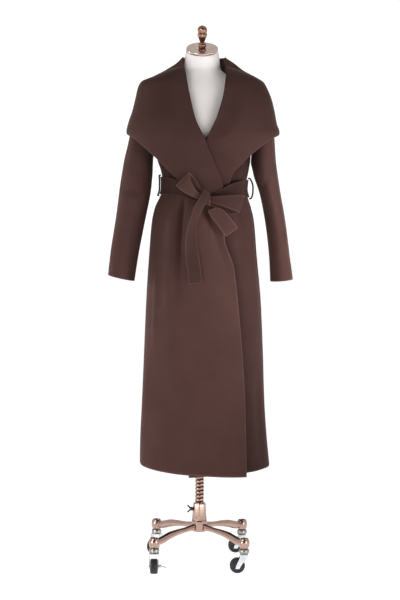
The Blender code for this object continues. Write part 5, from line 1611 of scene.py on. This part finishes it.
def make_fork(at_axle):
    """A top plate, two cheeks drawn back to the axle, and the axle."""
    low = (-FORK_HALF, -PLATE_REACH, FORK_TOP - FORK_PLATE)
    plate = block("plate", low, (FORK_HALF, PLATE_REACH, FORK_TOP - PLATE_DROP))
    bpy.ops.object.mode_set(mode="EDIT")
    shapes = [finish_shape(plate, bevel=0.0009)]
    for inside, outside in ((-CHEEK_OUTSIDE, -CHEEK_INSIDE), (CHEEK_INSIDE, CHEEK_OUTSIDE)):
        cheek = block("cheek", (-CHEEK_HALF, inside, CHEEK_FOOT), (CHEEK_HALF, outside, FORK_TOP))
        draw_face(cheek, (0, 0, -1), CHEEK_STEPS)
        shapes.append(finish_shape(cheek, bevel=0.0007))
    shapes.append(settle(turned("axle", mirrored(AXLE), sides=24), at_axle))
    return joined("fork_all", shapes)


def make_brake_lever():
    """A round hub with a wing for the foot."""
    wing = block("brake_wing", BRAKE_WING_LOW, BRAKE_WING_HIGH)
    draw_face(wing, (0, 0, 1), BRAKE_WING_STEPS)
    finish_shape(wing, bevel=0.0008)
    return joined("lever_all", [wing, turned("brake_hub", BRAKE_HUB, sides=32, bevel=0.0004)])


def make_castors():
    """Mount, fork and wheel made once and copied to each leg, and a brake lever at one of them."""
    to_axle = Matrix.Translation((TRAIL, 0, AXLE_HEIGHT))
    at_axle = to_axle @ Matrix.Rotation(math.pi / 2, 4, "X")
    at_lever = to_axle @ Matrix.Rotation(-math.pi / 2, 4, "X")
    mount = make_mount()
    fork = make_fork(at_axle)
    wheel = settle(turned("wheel_all", mirrored(WHEEL), sides=64, bored=True, smooth=40), at_axle)
    lever = make_brake_lever()
    for castor in CASTORS:
        place = Matrix.Translation((castor.side_x * CASTOR_REACH, castor.side_y * CASTOR_REACH, 0))
        swivel = place @ Matrix.Rotation(math.radians(castor.trail_angle), 4, "Z")
        mount_copy = settle(another(mount, "mount_copy"), place)
        hand_over(mount_copy, "castor_mount_" + castor.name, "stand", GREY_ZINC)
        fork_copy = settle(another(fork, "fork_copy"), swivel)
        hand_over(fork_copy, "castor_fork_" + castor.name, "fork_" + castor.name, ZINC)
        wheel_copy = settle(another(wheel, "wheel_copy"), swivel)
        hand_over(wheel_copy, "castor_wheel_" + castor.name, "wheel_" + castor.name, RUBBER)
        if castor.name == BRAKED_CASTOR:
            settle(lever, swivel @ at_lever)
            hand_over(lever, "brake_lever", "brake", ZINC)
    for shape in (mount, fork, wheel):
        bpy.data.objects.remove(shape)


def make_carrier(node, side, slack):
    """A thread loop over the belt at a side seam, hanging out by its slack."""
    curve = bpy.data.curves.new("carrier", "CURVE")
    curve.dimensions = "3D"
    curve.bevel_depth = CARRIER_RADIUS
    curve.bevel_resolution = 4
    curve.use_fill_caps = True
    spline = curve.splines.new("POLY")
    spline.points.add(CARRIER_STEPS - 1)
    turn = math.pi * np.linspace(0, 1, CARRIER_STEPS)
    z = belt_middle(side) + BELT_WIDTH * CARRIER_REACH * np.cos(turn)
    over_belt = ease(CARRIER_RISE * np.sin(turn))
    lift = mix(WALL + CARRIER_ROOT_GAP, BELT_LIFT + WALL + CARRIER_BELT_GAP, over_belt)
    lift = lift + CARRIER_RADIUS + slack * np.sin(turn) ** 2
    x = side * (read(BODY, "left" if side > 0 else "right", z) + lift)
    for k, point in enumerate(spline.points):
        point.co = (x[k], 0, z[k], 1)
    loop = add_object("carrier", curve)
    choose(loop)
    bpy.ops.object.convert(target="MESH")
    loop.data.shade_smooth()
    hand_over(loop, node, "figure", THREAD)


# The room, its lights and the camera


def make_room():
    """White to the camera, nearly dark to the cloth, and a soft band for the metal to mirror."""
    world = bpy.data.worlds.new("white_room")
    world.use_nodes = True
    bpy.context.scene.world = world
    room = Graph(world.node_tree)
    way = room.node("ShaderNodeTexCoord", {}, {}, "Generated")
    away = room.node("ShaderNodeSeparateXYZ", {}, {0: way}, "Y")
    upward = room.node("ShaderNodeSeparateXYZ", {}, {0: way}, "Z")
    shine = room.span(away - SHINE_SLOPE * upward, SHINE_START, SHINE_END, SHINE_LEAST, SHINE_MOST)
    mirrored_ray = room.node("ShaderNodeLightPath", {}, {}, "Is Glossy Ray")
    seen_ray = room.node("ShaderNodeLightPath", {}, {}, "Is Camera Ray")
    tone = room.blend(mirrored_ray, ROOM_TONE, shine)
    tone = room.blend(seen_ray, tone, BACKDROP_TONE)
    world.node_tree.links.new(tone.socket, world.node_tree.nodes["Background"].inputs["Color"])


def make_floor():
    """White paper that glows a little, so that it shows no edge."""
    bpy.ops.object.select_all(action="DESELECT")
    bpy.ops.mesh.primitive_plane_add(size=FLOOR_SIZE, location=(0, 0, 0))
    floor = bpy.context.object
    floor.name = "floor"
    glow = {"Emission Strength": FLOOR_GLOW, "Emission Color": (1, 1, 1, 1), "Specular IOR Level": 0.0}
    paper = Finish("white_paper", glow)
    tone = paper.blend(paper.noise(scale=30.0), deeper(PAPER_GROUND), deeper(PAPER_GRAIN))
    floor.data.materials.append(paper.use(Base_Color=tone))


def make_lights():
    """The soft lights, each turned to its target."""
    for lamp in LAMPS:
        light = bpy.data.lights.new(lamp.name, "AREA")
        light.shape = "RECTANGLE"
        light.size, light.size_y = lamp.size
        light.energy = lamp.power
        light.spread = math.radians(lamp.spread)
        holder = add_object(lamp.name, light)
        holder.location = lamp.place
        aim = Vector(lamp.target) - Vector(lamp.place)
        holder.rotation_euler = aim.to_track_quat("-Z", "Y").to_euler()


def make_camera():
    """The photograph's long lens, slightly rolled."""
    camera = bpy.data.cameras.new("camera")
    camera.sensor_fit = "VERTICAL"
    camera.sensor_height = CAMERA_SENSOR
    camera.lens = CAMERA_LENS
    view = add_object("camera", camera)
    tilt = Matrix.Rotation(math.radians(90 - CAMERA_DIP), 4, "X")
    view.matrix_world = Matrix.Translation(CAMERA_PLACE) @ tilt @ Matrix.Rotation(CAMERA_ROLL, 4, "Z")
    bpy.context.scene.camera = view


over_hem = HemLine(HEM_RISE_RIGHT, OVER_FRONT_RISE, OVER_HEM_SWEEP)
under_hem = HemLine(HEM_RISE_LEFT, UNDER_FRONT_RISE, UNDER_HEM_SWEEP)
over_shade = partial(lapel_shade, lapel=LAPEL_RIGHT_EDGE)
under_shade = partial(under_front_shade, lapel=LAPEL_LEFT_EDGE)
right_sleeve_shade = partial(sleeve_shade, lapel=LAPEL_RIGHT_EDGE, outside=SLEEVE_SHADE_RIGHT)
left_sleeve_shade = partial(sleeve_shade, lapel=LAPEL_LEFT_EDGE, outside=SLEEVE_SHADE_LEFT)

make_camera()
make_back_half("back_right", -1)
make_back_half("back_left", 1)
make_front("front_right", -1, FRONT_RIGHT_EDGE, over_lift, over_hem, OVER_FRONT_COLUMNS, over_shade)
make_front("front_left", 1, FRONT_LEFT_EDGE, no_lift, under_hem, UNDER_FRONT_COLUMNS, under_shade)
make_lapel("lapel_right", -1, FRONT_RIGHT_EDGE, LAPEL_RIGHT_EDGE, over_lift)
make_lapel("lapel_left", 1, FRONT_LEFT_EDGE, LAPEL_LEFT_EDGE, no_lift, roll_shade)
make_collar()
make_sleeve("sleeve_right", -1, SLEEVE_RIGHT, SLEEVE_CREASES_RIGHT, right_sleeve_shade)
make_sleeve("sleeve_left", 1, SLEEVE_LEFT, SLEEVE_CREASES_LEFT, left_sleeve_shade)
make_belt_band()
for ribbon, strip in RIBBONS.items():
    make_ribbon(ribbon, strip.rows, strip.steps)
make_knot()
make_carrier("belt_carrier_right", -1, CARRIER_SLACK_RIGHT)
make_carrier("belt_carrier_left", 1, CARRIER_SLACK_LEFT)
make_form()
make_neck()
make_post()
make_column()
make_legs()
make_clamp_bolt()
make_castors()
make_room()
make_floor()
make_lights()
bpy.context.scene.view_settings.view_transform = "Standard"
bpy.context.view_layer.update()
